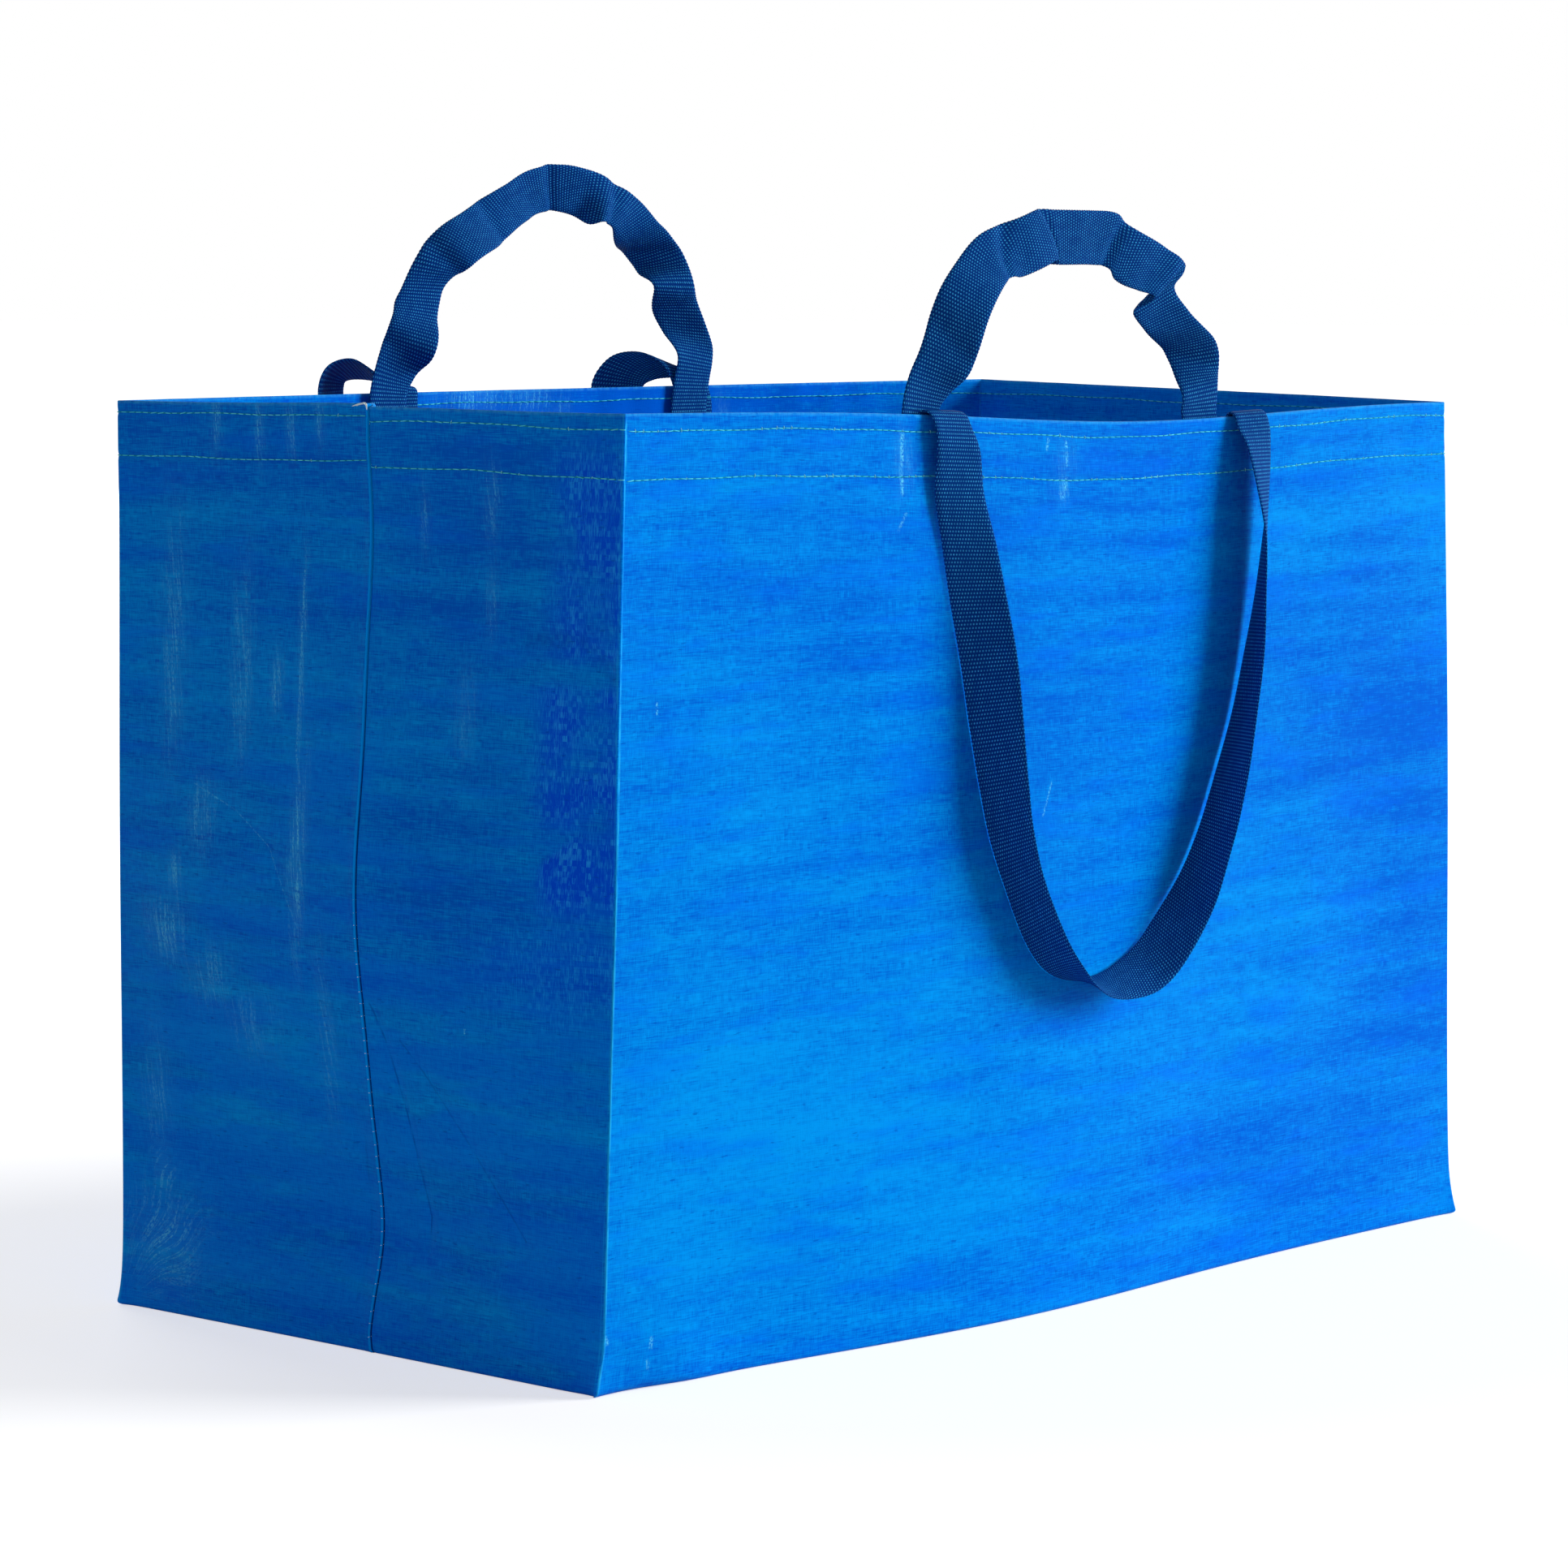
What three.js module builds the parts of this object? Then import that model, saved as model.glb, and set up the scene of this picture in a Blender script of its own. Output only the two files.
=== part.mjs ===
import * as THREE from "three";

// Open woven polypropylene carrier: one folded sheet with sewn end seams and a turned hem, and four straps of
// webbing. Millimetres. X runs along the long walls, Y from the front wall to the back, Z up from the floor.

// Sheet. EAR is how far the pinched floor corners stick out.
const LENGTH = 600;
const DEPTH = 300;
const HEIGHT = 400;
const WALL = 0.8;
const HEM = 28;
const CREASE_R = 3;
const EAR = 4;

// End seams: distance from the middle of the end wall, groove outside, allowance standing inside
const SEAM_SHIFT = 10;
const SEAM_GROOVE = 2.2;
const SEAM_MOUTH = 1.6;
const SEAM_FIN = 9;

// Webbing. Spans run over the outer edges of a strap's two feet, rises and drops from the rim to one edge.
const STRAP_W = 25;
const STRAP_T = 1.3;
const SEWN = 24;
const GAP = 0.35;
const FRONT_SPAN = 231;
const FRONT_RISE = 94;
const BACK_SPAN = 234;
const BACK_RISE = 107;
const FRONT_LONG_SPAN = 253;
const FRONT_DROP = 248;
const BACK_LONG_SPAN = 230;
const BACK_DROP = 233;

// How far the soft sheet strays from a flat box
const FRONT_BOW_LOW = 17;
const FRONT_BOW_RIM = 2;
const BACK_BOW_LOW = 10;
const BACK_BOW_RIM = 14;
const RIM_DIP = 7;
const END_BULGE = 9;
const END_DENT = 8;
const STRAY = 10;

const halfX = LENGTH / 2;
const halfY = DEPTH / 2;

const mix = (a, b, t) => a + (b - a) * t;
const hump = (x, centre, width) => Math.exp(-(((x - centre) / width) ** 2));

// Corner strays in plan at the floor and at the rim, as [x, y], and the rise of the rim, in shares of STRAY
const CORNERS = [
  { u: -1, v: -1, low: [-1.4, -0.1], rim: [0.3, -0.3], lift: 0.1 },
  { u: 1, v: -1, low: [-0.8, -0.9], rim: [-0.3, 0.3], lift: -0.4 },
  { u: 1, v: 1, low: [0.5, 0.3], rim: [0.3, -0.3], lift: 0.3 },
  { u: -1, v: 1, low: [0.2, 0.1], rim: [0.2, -0.1], lift: 0.2 },
];

// Where a point of the flat box goes on the soft bag. u and v run -1 to 1 across the plan, h from 0 to 1 up.
function stray(u, v, h) {
  let dx = 0;
  let dy = 0;
  let dz = 0;
  for (const c of CORNERS) {
    const w = STRAY * ((1 + c.u * u) / 2) * ((1 + c.v * v) / 2);
    dx += w * mix(c.low[0], c.rim[0], h);
    dy += w * mix(c.low[1], c.rim[1], h);
    dz += w * c.lift * h * h;
  }
  const front = ((1 - v) / 2) ** 3;
  const back = ((1 + v) / 2) ** 3;
  const nearEnd = ((1 - u) / 2) ** 3;
  const farEnd = ((1 + u) / 2) ** 3;
  const belly = (1 - u ** 6) * hump(u, -0.18, 0.5);
  const across = 1 - u * u;
  dy -= front * (belly * FRONT_BOW_LOW * (1 - h) ** 1.2 + across * FRONT_BOW_RIM);
  dy += back * across * (BACK_BOW_LOW * (1 - h) + BACK_BOW_RIM * h);
  dz -= front * RIM_DIP * h * h * hump(u, 0.16, 0.5);
  const tent = 1 - Math.abs(v) ** 1.5;
  const nearDents = hump(h, 0.13, 0.08) + 0.3 * hump(h, 0.87, 0.08);
  dx -= nearEnd * tent * (END_BULGE * hump(h, 0.48, 0.15) - END_DENT * nearDents);
  dx += farEnd * tent * (0.6 * END_BULGE * hump(h, 0.4, 0.25) - 0.5 * END_DENT * hump(h, 0.8, 0.15));
  return [dx, dy, dz];
}

function place(x0, y0, h) {
  const u = x0 / halfX;
  const v = y0 / halfY;
  const [dx, dy, dz] = stray(u, v, h);
  const ear = EAR * Math.min(1, Math.abs(u * v)) ** 40 * Math.exp(-h * 40);
  const x = x0 + dx + Math.sign(u) * ear * 0.8;
  const y = y0 + dy + Math.sign(v) * ear * 0.6;
  return new THREE.Vector3(x, y, h * HEIGHT + dz);
}

// One level of the sheet, counter-clockwise from the front wall's near end. inset moves it inward. The end
// seams show as a groove on the outside (bite) and as a standing allowance on the inside (fin).
function ring(h, inset, bite, fin) {
  const a = halfX - inset;
  const b = halfY - inset;
  const r = Math.max(0.4, CREASE_R - inset);
  const pts = [];
  const longN = 24;
  const shortN = 6;
  const beside = SEAM_MOUTH + SEAM_GROOVE;
  const put = (x, y) => pts.push(place(x, y, h));
  const arc = (cx, cy, from) => {
    for (let i = 1; i < 3; i += 1) {
      const t = from + (i / 3) * (Math.PI / 2);
      put(cx + r * Math.cos(t), cy + r * Math.sin(t));
    }
  };
  const seam = (side, y0) => {
    const lean = fin > 0 ? side * 0.45 * fin : 0;
    const lip = fin > 0 ? WALL : SEAM_MOUTH;
    const neck = fin > 0 ? WALL : SEAM_MOUTH / 4;
    const depth = fin > 0 ? fin : bite;
    put(side * a, y0 - side * lip);
    put(side * (a - depth), y0 - side * neck - lean);
    put(side * (a - depth), y0 + side * neck - lean);
    put(side * a, y0 + side * lip);
  };
  for (let i = 0; i <= longN; i += 1) put(mix(-a + r, a - r, i / longN), -b);
  arc(a - r, -b + r, -Math.PI / 2);
  for (let i = 0; i < shortN; i += 1) put(a, mix(-b + r, SEAM_SHIFT - beside, i / (shortN - 1)));
  seam(1, SEAM_SHIFT);
  for (let i = 0; i < shortN; i += 1) put(a, mix(SEAM_SHIFT + beside, b - r, i / (shortN - 1)));
  arc(a - r, b - r, 0);
  for (let i = 0; i <= longN; i += 1) put(mix(a - r, -a + r, i / longN), b);
  arc(-a + r, b - r, Math.PI / 2);
  for (let i = 0; i < shortN; i += 1) put(-a, mix(b - r, -SEAM_SHIFT + beside, i / (shortN - 1)));
  seam(-1, -SEAM_SHIFT);
  for (let i = 0; i < shortN; i += 1) put(-a, mix(-SEAM_SHIFT - beside, -b + r, i / (shortN - 1)));
  arc(-a + r, -b + r, Math.PI);
  return pts;
}

function toMesh(name, points, faces, material) {
  let volume = 0;
  const cross = new THREE.Vector3();
  for (const [i, j, k] of faces) {
    volume += points[i].dot(cross.crossVectors(points[j], points[k]));
  }
  const positions = [];
  for (const [i, j, k] of faces) {
    const order = volume < 0 ? [i, k, j] : [i, j, k];
    for (const n of order) positions.push(points[n].x, points[n].y, points[n].z);
  }
  const geometry = new THREE.BufferGeometry();
  geometry.setAttribute("position", new THREE.Float32BufferAttribute(positions, 3));
  geometry.computeVertexNormals();
  const mesh = new THREE.Mesh(geometry, material);
  mesh.name = name;
  return mesh;
}

// A closed skin through rings of equal length, with both end rings filled.
function loft(name, rings, material) {
  const n = rings[0].length;
  const points = rings.flat();
  const faces = [];
  for (let k = 0; k + 1 < rings.length; k += 1) {
    for (let i = 0; i < n; i += 1) {
      const j = (i + 1) % n;
      faces.push([k * n + i, k * n + j, (k + 1) * n + j]);
      faces.push([k * n + i, (k + 1) * n + j, (k + 1) * n + i]);
    }
  }
  const cap = (k, flip) => {
    const flat = rings[k].map((p) => new THREE.Vector2(p.x, p.y));
    for (const [i, j, m] of THREE.ShapeUtils.triangulateShape(flat, [])) {
      faces.push(flip ? [k * n + i, k * n + m, k * n + j] : [k * n + i, k * n + j, k * n + m]);
    }
  };
  cap(0, true);
  cap(rings.length - 1, false);
  return toMesh(name, points, faces, material);
}

function bagBody(material) {
  const hemLine = 1 - HEM / HEIGHT;
  const edge = 0.7 * WALL;
  const underRim = 1 - edge / HEIGHT;
  const foot = [0, 0.004, 0.012, 0.03, 0.06, 0.1, 0.15, 0.2, 0.26];
  const wall = [0.33, 0.4, 0.47, 0.54, 0.61, 0.69, 0.77, 0.85];
  const inside = [0.77, 0.61, 0.47, 0.33, 0.2, 0.1, 0.04];
  const rings = [...foot, ...wall].map((h) => ring(h, 0, SEAM_GROOVE * Math.min(1, h * 60), 0));
  for (const h of [hemLine, mix(hemLine, 1, 0.5), underRim]) rings.push(ring(h, 0, SEAM_GROOVE, 0));
  rings.push(ring(1, 0.5 * edge, SEAM_GROOVE, 0));
  rings.push(ring(1, 2 * WALL - 0.5 * edge, SEAM_GROOVE, 0));
  rings.push(ring(underRim, 2 * WALL, 0, SEAM_FIN / 3));
  for (const h of [mix(hemLine, 1, 0.85), hemLine]) rings.push(ring(h, 2 * WALL, 0, SEAM_FIN));
  rings.push(ring(hemLine - WALL / HEIGHT, WALL, 0, SEAM_FIN));
  for (const h of inside) rings.push(ring(h, WALL, 0, SEAM_FIN));
  rings.push(ring((WALL + CREASE_R) / HEIGHT, WALL, 0, SEAM_FIN));
  rings.push(ring(WALL / HEIGHT, WALL + CREASE_R / 2, 0, SEAM_FIN));
  return loft("bag_body", rings, material);
}

// Straps. A station is [along, up, out, fan, lean]: the place of one edge of the webbing, measured along the
// wall, up from the rim and out from the wall's face, then the way to its other edge as an angle in the plane of
// the wall and an angle out of it, in degrees.
const FOOT_LONG = -(2 * WALL + GAP + STRAP_T / 2);
const FOOT_SHORT = FOOT_LONG - STRAP_T - GAP;

// Front hand loop, drawn from its left foot to its right foot.
const FRONT_ARCH = [
  [-117, -SEWN, 0, 0, 0],
  [-117, -10, 0, 0, 0],
  [-116, 4, 0, -4, 0],
  [-112, 15, 0, -13, 11],
  [-104, 27, 0, -24, 32],
  [-91, 51, 0, -29, 33],
  [-78, 64, 0, -29, 19],
  [-64, 74, 0, -45, 13],
  [-42, 81, 0, -70, 5],
  [-22, 87, 1, -64, 3],
  [-13, 87, 0, -74, -6],
  [16, 88, 0, -80, -14],
  [36, 87, 0, -88, -13],
  [46, 82, 0, -101, -14],
  [72, 73, 0, -129, -10],
  [86, 65, 3, -145, -11],
  [82, 57, -2, -150, -13],
  [93, 46, -2, -160, -24],
  [111, 33, 0, -166, -34],
  [115, 23, 0, -174, -26],
  [112, 13, 0, -173, -5],
  [112, 3, 0, -179, -4],
  [114, -8, 0, -180, 0],
  [114, -SEWN, 0, -180, 0],
];

// Back hand loop, which stands higher.
const BACK_ARCH = [
  [-135, -SEWN, 0, 0, 0],
  [-135, -10, 0, 0, 0],
  [-135, 0, 0, -3, 0],
  [-130, 15, 0, -19, -6],
  [-124, 27, 0, -22, -36],
  [-119, 38, 0, -9, -12],
  [-111, 52, 0, -3, -12],
  [-103, 63, 0, -18, -27],
  [-93, 73, 0, -37, -34],
  [-71, 84, 0, -40, -16],
  [-56, 91, 0, -38, -3],
  [-43, 97, 0, -43, 7],
  [-25, 104, 0, -56, 14],
  [-1, 107, 0, -73, 20],
  [15, 105, 0, -86, 16],
  [35, 99, 0, -128, -12],
  [52, 90, 0, -150, -4],
  [62, 82, 0, -152, 18],
  [72, 75, 0, -153, 36],
  [85, 61, 0, -166, 42],
  [90, 48, 0, -182, 10],
  [95, 37, 0, -181, 26],
  [102, 22, 0, -188, 24],
  [103, 11, 0, -189, 0],
  [101, 2, 0, -183, 0],
  [99, -10, 0, -180, 0],
  [99, -SEWN, 0, -180, 0],
];

// Shoulder loop hanging outside the wall, below its two turns over the rim.
const HANGING = [
  [-104, -14, 5, 0, 8],
  [-104, -34, 4, 1, 19],
  [-101, -56, 3, 1, 31],
  [-97, -81, 3, 4, 42],
  [-91, -108, 2.5, 10, 54],
  [-85, -140, 2, 26, 67],
  [-78, -168, 1.5, 54, 74],
  [-71, -190, 1.5, 84, 74],
  [-62, -212, 1.5, 104, 68],
  [-50, -236, 1.5, 106, 66],
  [-37, -250, 1.5, 126, 70],
  [-17, -256, 1.5, 176, 62],
  [3, -254, 1.5, 208, 46],
  [19, -249, 1.5, 234, 42],
  [33, -242, 1.5, 262, 46],
  [46, -232, 1.5, 272, 56],
  [68, -213, 1.5, 256, 66],
  [84, -193, 1.5, 216, 74],
  [99, -167, 1.5, 187, 72],
  [113, -140, 1.5, 176, 63],
  [123, -112, 2, 174, 57],
  [131, -85, 3, 176, 47],
  [137, -56, 4, 177, 38],
  [140, -36, 5, 178, 25],
  [142, -14, 5, 178, 10],
];

// Its turn over the rim, as [up, out], from the foot inside to the hanging leg.
const TURN = GAP + STRAP_T / 2;
const RIM_TURN = [
  [-SEWN, FOOT_LONG],
  [-SEWN / 4, FOOT_LONG],
  [0, FOOT_LONG],
  [TURN + WALL, -WALL / 2],
  [TURN / 2, TURN + 2 * WALL],
  [-5, 5],
];

const FRONT_LONG = [
  ...RIM_TURN.map(([up, out], i) => [-110 + i, up, out, 0, 0]),
  ...HANGING,
  ...RIM_TURN.map(([up, out], i) => [143 - 0.3 * i, up, out, 180, 0]).reverse(),
];

// The back one springs over the rim in two open loops before it hangs.
const BACK_LONG = [
  [-126, -SEWN, FOOT_LONG, 0, 0],
  [-126, -SEWN / 4, FOOT_LONG, 0, 0],
  [-127, 4, FOOT_LONG, -5, 0],
  [-130, 11, 1, -20, 10],
  [-137, 16, 6, -26, 18],
  [-146, 13, 12, -18, 20],
  [-151, 2, 14, 0, 16],
  [-150, -14, 11, 2, 20],
  ...HANGING.slice(1, -1)
    .map(([along, up, out, fan, lean]) => [-along - 8, up, out, 180 - fan, lean])
    .reverse(),
  [74, -14, 9, 180, 40],
  [69, -1, 10, 175, 50],
  [73, 3, 6, 146, 44],
  [82, 4, 2, 144, 28],
  [96, 5, FOOT_LONG, 168, 4],
  [104, -SEWN / 4, FOOT_LONG, 180, 0],
  [104, -SEWN, FOOT_LONG, 180, 0],
];

// Point on a station list at t, through the stations with knots set by their spacing.
function glide(list, knots, t) {
  let k = 1;
  while (k < list.length - 2 && t > knots[k + 1]) k += 1;
  k = Math.min(k, list.length - 3);
  const out = [];
  for (let c = 0; c < list[0].length; c += 1) {
    const p = [list[k - 1][c], list[k][c], list[k + 1][c], list[k + 2][c]];
    const q = [knots[k - 1], knots[k], knots[k + 1], knots[k + 2]];
    const lerp = (a, b, i, j) => ((q[j] - t) * a + (t - q[i]) * b) / (q[j] - q[i]);
    const a1 = lerp(p[0], p[1], 0, 1);
    const a2 = lerp(p[1], p[2], 1, 2);
    const a3 = lerp(p[2], p[3], 2, 3);
    const b1 = lerp(a1, a2, 0, 2);
    const b2 = lerp(a2, a3, 1, 3);
    out.push(lerp(b1, b2, 1, 2));
  }
  return out;
}

// From wall measure (along, up, out) to the bag. side is -1 for the front wall and 1 for the back wall.
function onWall(side, along, up, out) {
  let x0 = along;
  for (let i = 0; i < 3; i += 1) x0 = along - stray(x0 / halfX, side, 1)[0];
  const lift = stray(x0 / halfX, side, 1)[2];
  const h = Math.min(1, Math.max(0, 1 + up / HEIGHT));
  for (let i = 0; i < 3; i += 1) x0 = along - stray(x0 / halfX, side, h)[0];
  const dy = stray(x0 / halfX, side, h)[1];
  return new THREE.Vector3(along, side * (halfY + out) + dy, HEIGHT + up + lift);
}

// The list stretched to its strap's span, rise above the rim and drop below it. Sewn feet keep their length.
function stretch(stations, size) {
  const ups = stations.map((s) => s[1]);
  const wide = size.span / (stations[stations.length - 1][0] - stations[0][0]);
  const tall = size.rise ? size.rise / Math.max(...ups) : 1;
  const deep = size.drop ? (size.drop - SEWN) / (-Math.min(...ups) - SEWN) : 1;
  return stations.map(([along, up, ...rest]) => {
    const below = up < -SEWN ? -SEWN + (up + SEWN) * deep : up;
    return [along * wide, up > 0 ? up * tall : below, ...rest];
  });
}

function strap(name, side, stations, base, size, material) {
  const list = stretch(stations, size).map(([along, up, out, fan, lean]) => [along, up, out + base, fan, lean]);
  const first = list[0].map((v, c) => 2 * v - list[1][c]);
  const last = list[list.length - 1].map((v, c) => 2 * v - list[list.length - 2][c]);
  const all = [first, ...list, last];
  const knots = [0];
  for (let i = 1; i < all.length; i += 1) {
    const d = Math.hypot(...[0, 1, 2].map((c) => all[i][c] - all[i - 1][c]));
    const turn = Math.hypot(all[i][3] - all[i - 1][3], all[i][4] - all[i - 1][4]);
    knots.push(knots[i - 1] + Math.sqrt(d + 0.15 * turn + 0.5));
  }
  const sections = [];
  for (let i = 1; i + 2 < all.length; i += 1) {
    for (const share of [0, 1 / 3, 2 / 3]) {
      sections.push(glide(all, knots, mix(knots[i], knots[i + 1], share)));
    }
  }
  sections.push(glide(all, knots, knots[all.length - 2]));
  const edges = sections.map(([along, up, out, fan, lean]) => {
    const f = THREE.MathUtils.degToRad(fan);
    const l = THREE.MathUtils.degToRad(lean);
    const flat = STRAP_W * Math.cos(l);
    return [
      onWall(side, along, up, out),
      onWall(side, along + flat * Math.cos(f), up + flat * Math.sin(f), out + STRAP_W * Math.sin(l)),
    ];
  });
  const rings = edges.map(([a, b], i) => {
    const before = edges[Math.max(0, i - 1)];
    const after = edges[Math.min(edges.length - 1, i + 1)];
    const run = new THREE.Vector3().add(after[0]).add(after[1]).sub(before[0]).sub(before[1]);
    const face = new THREE.Vector3().crossVectors(run, new THREE.Vector3().subVectors(b, a)).normalize();
    face.multiplyScalar(STRAP_T / 2);
    return [a.clone().add(face), b.clone().add(face), b.clone().sub(face), a.clone().sub(face)];
  });
  return ribbon(name, rings, material);
}

function ribbon(name, rings, material) {
  const points = rings.flat();
  const faces = [];
  for (let k = 0; k + 1 < rings.length; k += 1) {
    for (let i = 0; i < 4; i += 1) {
      const j = (i + 1) % 4;
      faces.push([4 * k + i, 4 * k + j, 4 * k + 4 + j]);
      faces.push([4 * k + i, 4 * k + 4 + j, 4 * k + 4 + i]);
    }
  }
  const e = points.length - 4;
  faces.push([0, 2, 1], [0, 3, 2], [e, e + 1, e + 2], [e, e + 2, e + 3]);
  return toMesh(name, points, faces, material);
}

const film = new THREE.MeshStandardMaterial({ color: 0x0b6fd6, roughness: 0.4 });
const webbing = new THREE.MeshStandardMaterial({ color: 0x0e3568, roughness: 0.8 });

const part = new THREE.Group();
part.name = "polypropylene_shopping_bag";
const sizes = {
  frontShort: { span: FRONT_SPAN, rise: FRONT_RISE },
  backShort: { span: BACK_SPAN, rise: BACK_RISE },
  frontLong: { span: FRONT_LONG_SPAN, drop: FRONT_DROP },
  backLong: { span: BACK_LONG_SPAN, drop: BACK_DROP },
};
part.add(bagBody(film));
part.add(strap("front_short_handle", -1, FRONT_ARCH, FOOT_SHORT, sizes.frontShort, webbing));
part.add(strap("back_short_handle", 1, BACK_ARCH, FOOT_SHORT, sizes.backShort, webbing));
part.add(strap("front_long_handle", -1, FRONT_LONG, 0, sizes.frontLong, webbing));
part.add(strap("back_long_handle", 1, BACK_LONG, 0, sizes.backLong, webbing));

export default part;
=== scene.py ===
"""Looks of a woven polypropylene shopping bag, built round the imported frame.

Shapes are worked out in millimetres in the frame's axes and become metres when a mesh is made.
"""

import math

import bpy
import numpy as np
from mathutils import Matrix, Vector


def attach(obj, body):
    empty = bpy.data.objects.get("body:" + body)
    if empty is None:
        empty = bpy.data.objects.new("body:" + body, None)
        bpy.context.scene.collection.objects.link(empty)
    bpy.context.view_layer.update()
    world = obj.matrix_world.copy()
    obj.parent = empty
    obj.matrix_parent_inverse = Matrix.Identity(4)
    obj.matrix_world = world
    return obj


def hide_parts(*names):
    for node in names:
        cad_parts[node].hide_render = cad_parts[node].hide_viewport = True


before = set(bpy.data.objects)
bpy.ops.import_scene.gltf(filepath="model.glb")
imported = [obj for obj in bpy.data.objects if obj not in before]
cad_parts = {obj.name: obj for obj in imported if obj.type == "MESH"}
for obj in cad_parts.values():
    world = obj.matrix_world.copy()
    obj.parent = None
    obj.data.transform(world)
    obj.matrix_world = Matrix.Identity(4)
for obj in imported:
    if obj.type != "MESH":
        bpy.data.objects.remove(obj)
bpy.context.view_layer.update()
rng = np.random.default_rng(7)

MM = 0.001

# Sheet
LENGTH = 600.0
DEPTH = 300.0
HEIGHT = 400.0
WALL = 0.8
HEM = 30.0
CREASE_R = 1.2
FLOOR_R = 2.2
ROLL = 4.0
LIP = 4.0
EDGE_PULL = 2.6
RIM_LIFT = 1.6
EAR = 4.0
TAPE = 2.4
HALF_X = LENGTH / 2
HALF_Y = DEPTH / 2
HEM_EDGE = HEIGHT - HEM
BELOW_HEM = HEM_EDGE - 4.0
RIM_EDGE = 0.35

# Third measure of places on the cloth and on the webbing, which keeps the patterns of their faces apart
INNER_SKIN = 40.0
FLOOR_SKIN = 80.0
STRAP_SKIN = 50.0

# End seams: distance from the middle of the wall, depth of the groove, allowance inside, half width of the
# section, slip of the lower flap and lean of the allowance
SEAM_SHIFT = 10.0
SEAM_GROOVE = 2.4
SEAM_FIN = 9.0
SEAM_REACH = 6.0
SEAM_SLIP = 1.4
FIN_LEAN = 0.45

# Webbing
STRAP_W = 25.0
STRAP_T = 1.3
SEWN = 24.0
GAP = 0.35
RIB_PITCH = 1.7
DASH_PITCH = 1.32
DASH_SIZE = (0.40, 0.46)
RIB_HEIGHT = 0.13
SCALLOP = 0.3
STRAP_CUP = 0.7
STRAP_COLS = 13

# How far the soft sheet strays from a flat box
FRONT_BOW_LOW = 17.0
FRONT_BOW_RIM = 2.0
BACK_BOW_LOW = 10.0
BACK_BOW_RIM = 14.0
RIM_DIP = 7.0
END_BULGE = 9.0
END_DENT = 8.0
STRAY = 10.0

# Stitching
STITCH = 4.5
STITCH_GAP = 0.1
STITCH_PITCH = STITCH + STITCH_GAP
SEAM_STITCH = 5.5
THREAD_R = 0.22
ROW_R = 0.28
DOT_R = 0.26
TICK_R = 0.17
TICK = 1.5

# Tints of thread, from 0 where it sinks in, painted dark as shade there, over 1 along a stitch, to 2 for
# white
SHADED_SUNK_TINT = 0.0
TICK_TINT = 1.2
WHITE_TINT = 2.0

# The run along the outside of the walls, counter-clockwise from the front wall's near end
FRONT_RUN = LENGTH
FAR_RUN = LENGTH + DEPTH
BACK_RUN = 2 * LENGTH + DEPTH
WHOLE_RUN = 2 * (LENGTH + DEPTH)
FAR_SEAM = FRONT_RUN + HALF_Y + SEAM_SHIFT
NEAR_SEAM = BACK_RUN + HALF_Y + SEAM_SHIFT

# Corners of the plan, with their strays at the floor and at the rim and the rise of the rim,
# in shares of STRAY
CORNERS = [
    (-1, -1, (-1.4, -0.1), (0.3, -0.3), 0.1),
    (1, -1, (-0.8, -0.9), (-0.3, 0.3), -0.4),
    (1, 1, (0.5, 0.3), (0.3, -0.3), 0.3),
    (-1, 1, (0.2, 0.1), (0.2, -0.1), 0.2),
]


def mix(a, b, t):
    return a + (b - a) * t


def hump(x, centre, width):
    return np.exp(-(((x - centre) / width) ** 2))


def smooth(low, high, x):
    t = np.clip((x - low) / (high - low), 0, 1)
    return t * t * (3 - 2 * t)


def band(x, start, full, fall, end):
    """1 from full to fall, and smoothly down to 0 at start and at end."""
    return smooth(start, full, x) * (1 - smooth(fall, end, x))


def unit(vectors):
    return vectors / np.linalg.norm(vectors, axis=-1, keepdims=True)


def stray(u, v, h):
    """Shift of a point of the flat box on the soft bag, as the solids have it."""
    dx = 0.0
    dy = 0.0
    dz = 0.0
    for cu, cv, low, rim, lift in CORNERS:
        w = STRAY * ((1 + cu * u) / 2) * ((1 + cv * v) / 2)
        dx = dx + w * mix(low[0], rim[0], h)
        dy = dy + w * mix(low[1], rim[1], h)
        dz = dz + w * lift * h * h
    front = ((1 - v) / 2) ** 3
    back = ((1 + v) / 2) ** 3
    near_end = ((1 - u) / 2) ** 3
    far_end = ((1 + u) / 2) ** 3
    belly = (1 - u**6) * hump(u, -0.18, 0.5)
    across = 1 - u * u
    dy = dy - front * (belly * FRONT_BOW_LOW * (1 - h) ** 1.2 + across * FRONT_BOW_RIM)
    dy = dy + back * across * (BACK_BOW_LOW * (1 - h) + BACK_BOW_RIM * h)
    dz = dz - front * RIM_DIP * h * h * hump(u, 0.16, 0.5)
    tent = 1 - np.abs(v) ** 1.5
    near_dents = hump(h, 0.13, 0.08) + 0.3 * hump(h, 0.87, 0.08)
    dx = dx - near_end * tent * (END_BULGE * hump(h, 0.48, 0.15) - END_DENT * near_dents)
    dx = dx + far_end * tent * (0.6 * END_BULGE * hump(h, 0.4, 0.25) - 0.5 * END_DENT * hump(h, 0.8, 0.15))
    return dx, dy, dz


# Meshes


def read(items, key, kind=np.int32, width=1):
    """The values of all items of a mesh, in one row."""
    values = np.empty(width * len(items), dtype=kind)
    items.foreach_get(key, values)
    return values


def add_layer(mesh, key, values, domain):
    """An attribute of numbers or of vectors."""
    kind, slot = ("FLOAT", "value") if values.ndim == 1 else ("FLOAT_VECTOR", "vector")
    layer = mesh.attributes.new(key, kind, domain)
    layer.data.foreach_set(slot, values.astype(np.float32).ravel())


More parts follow.
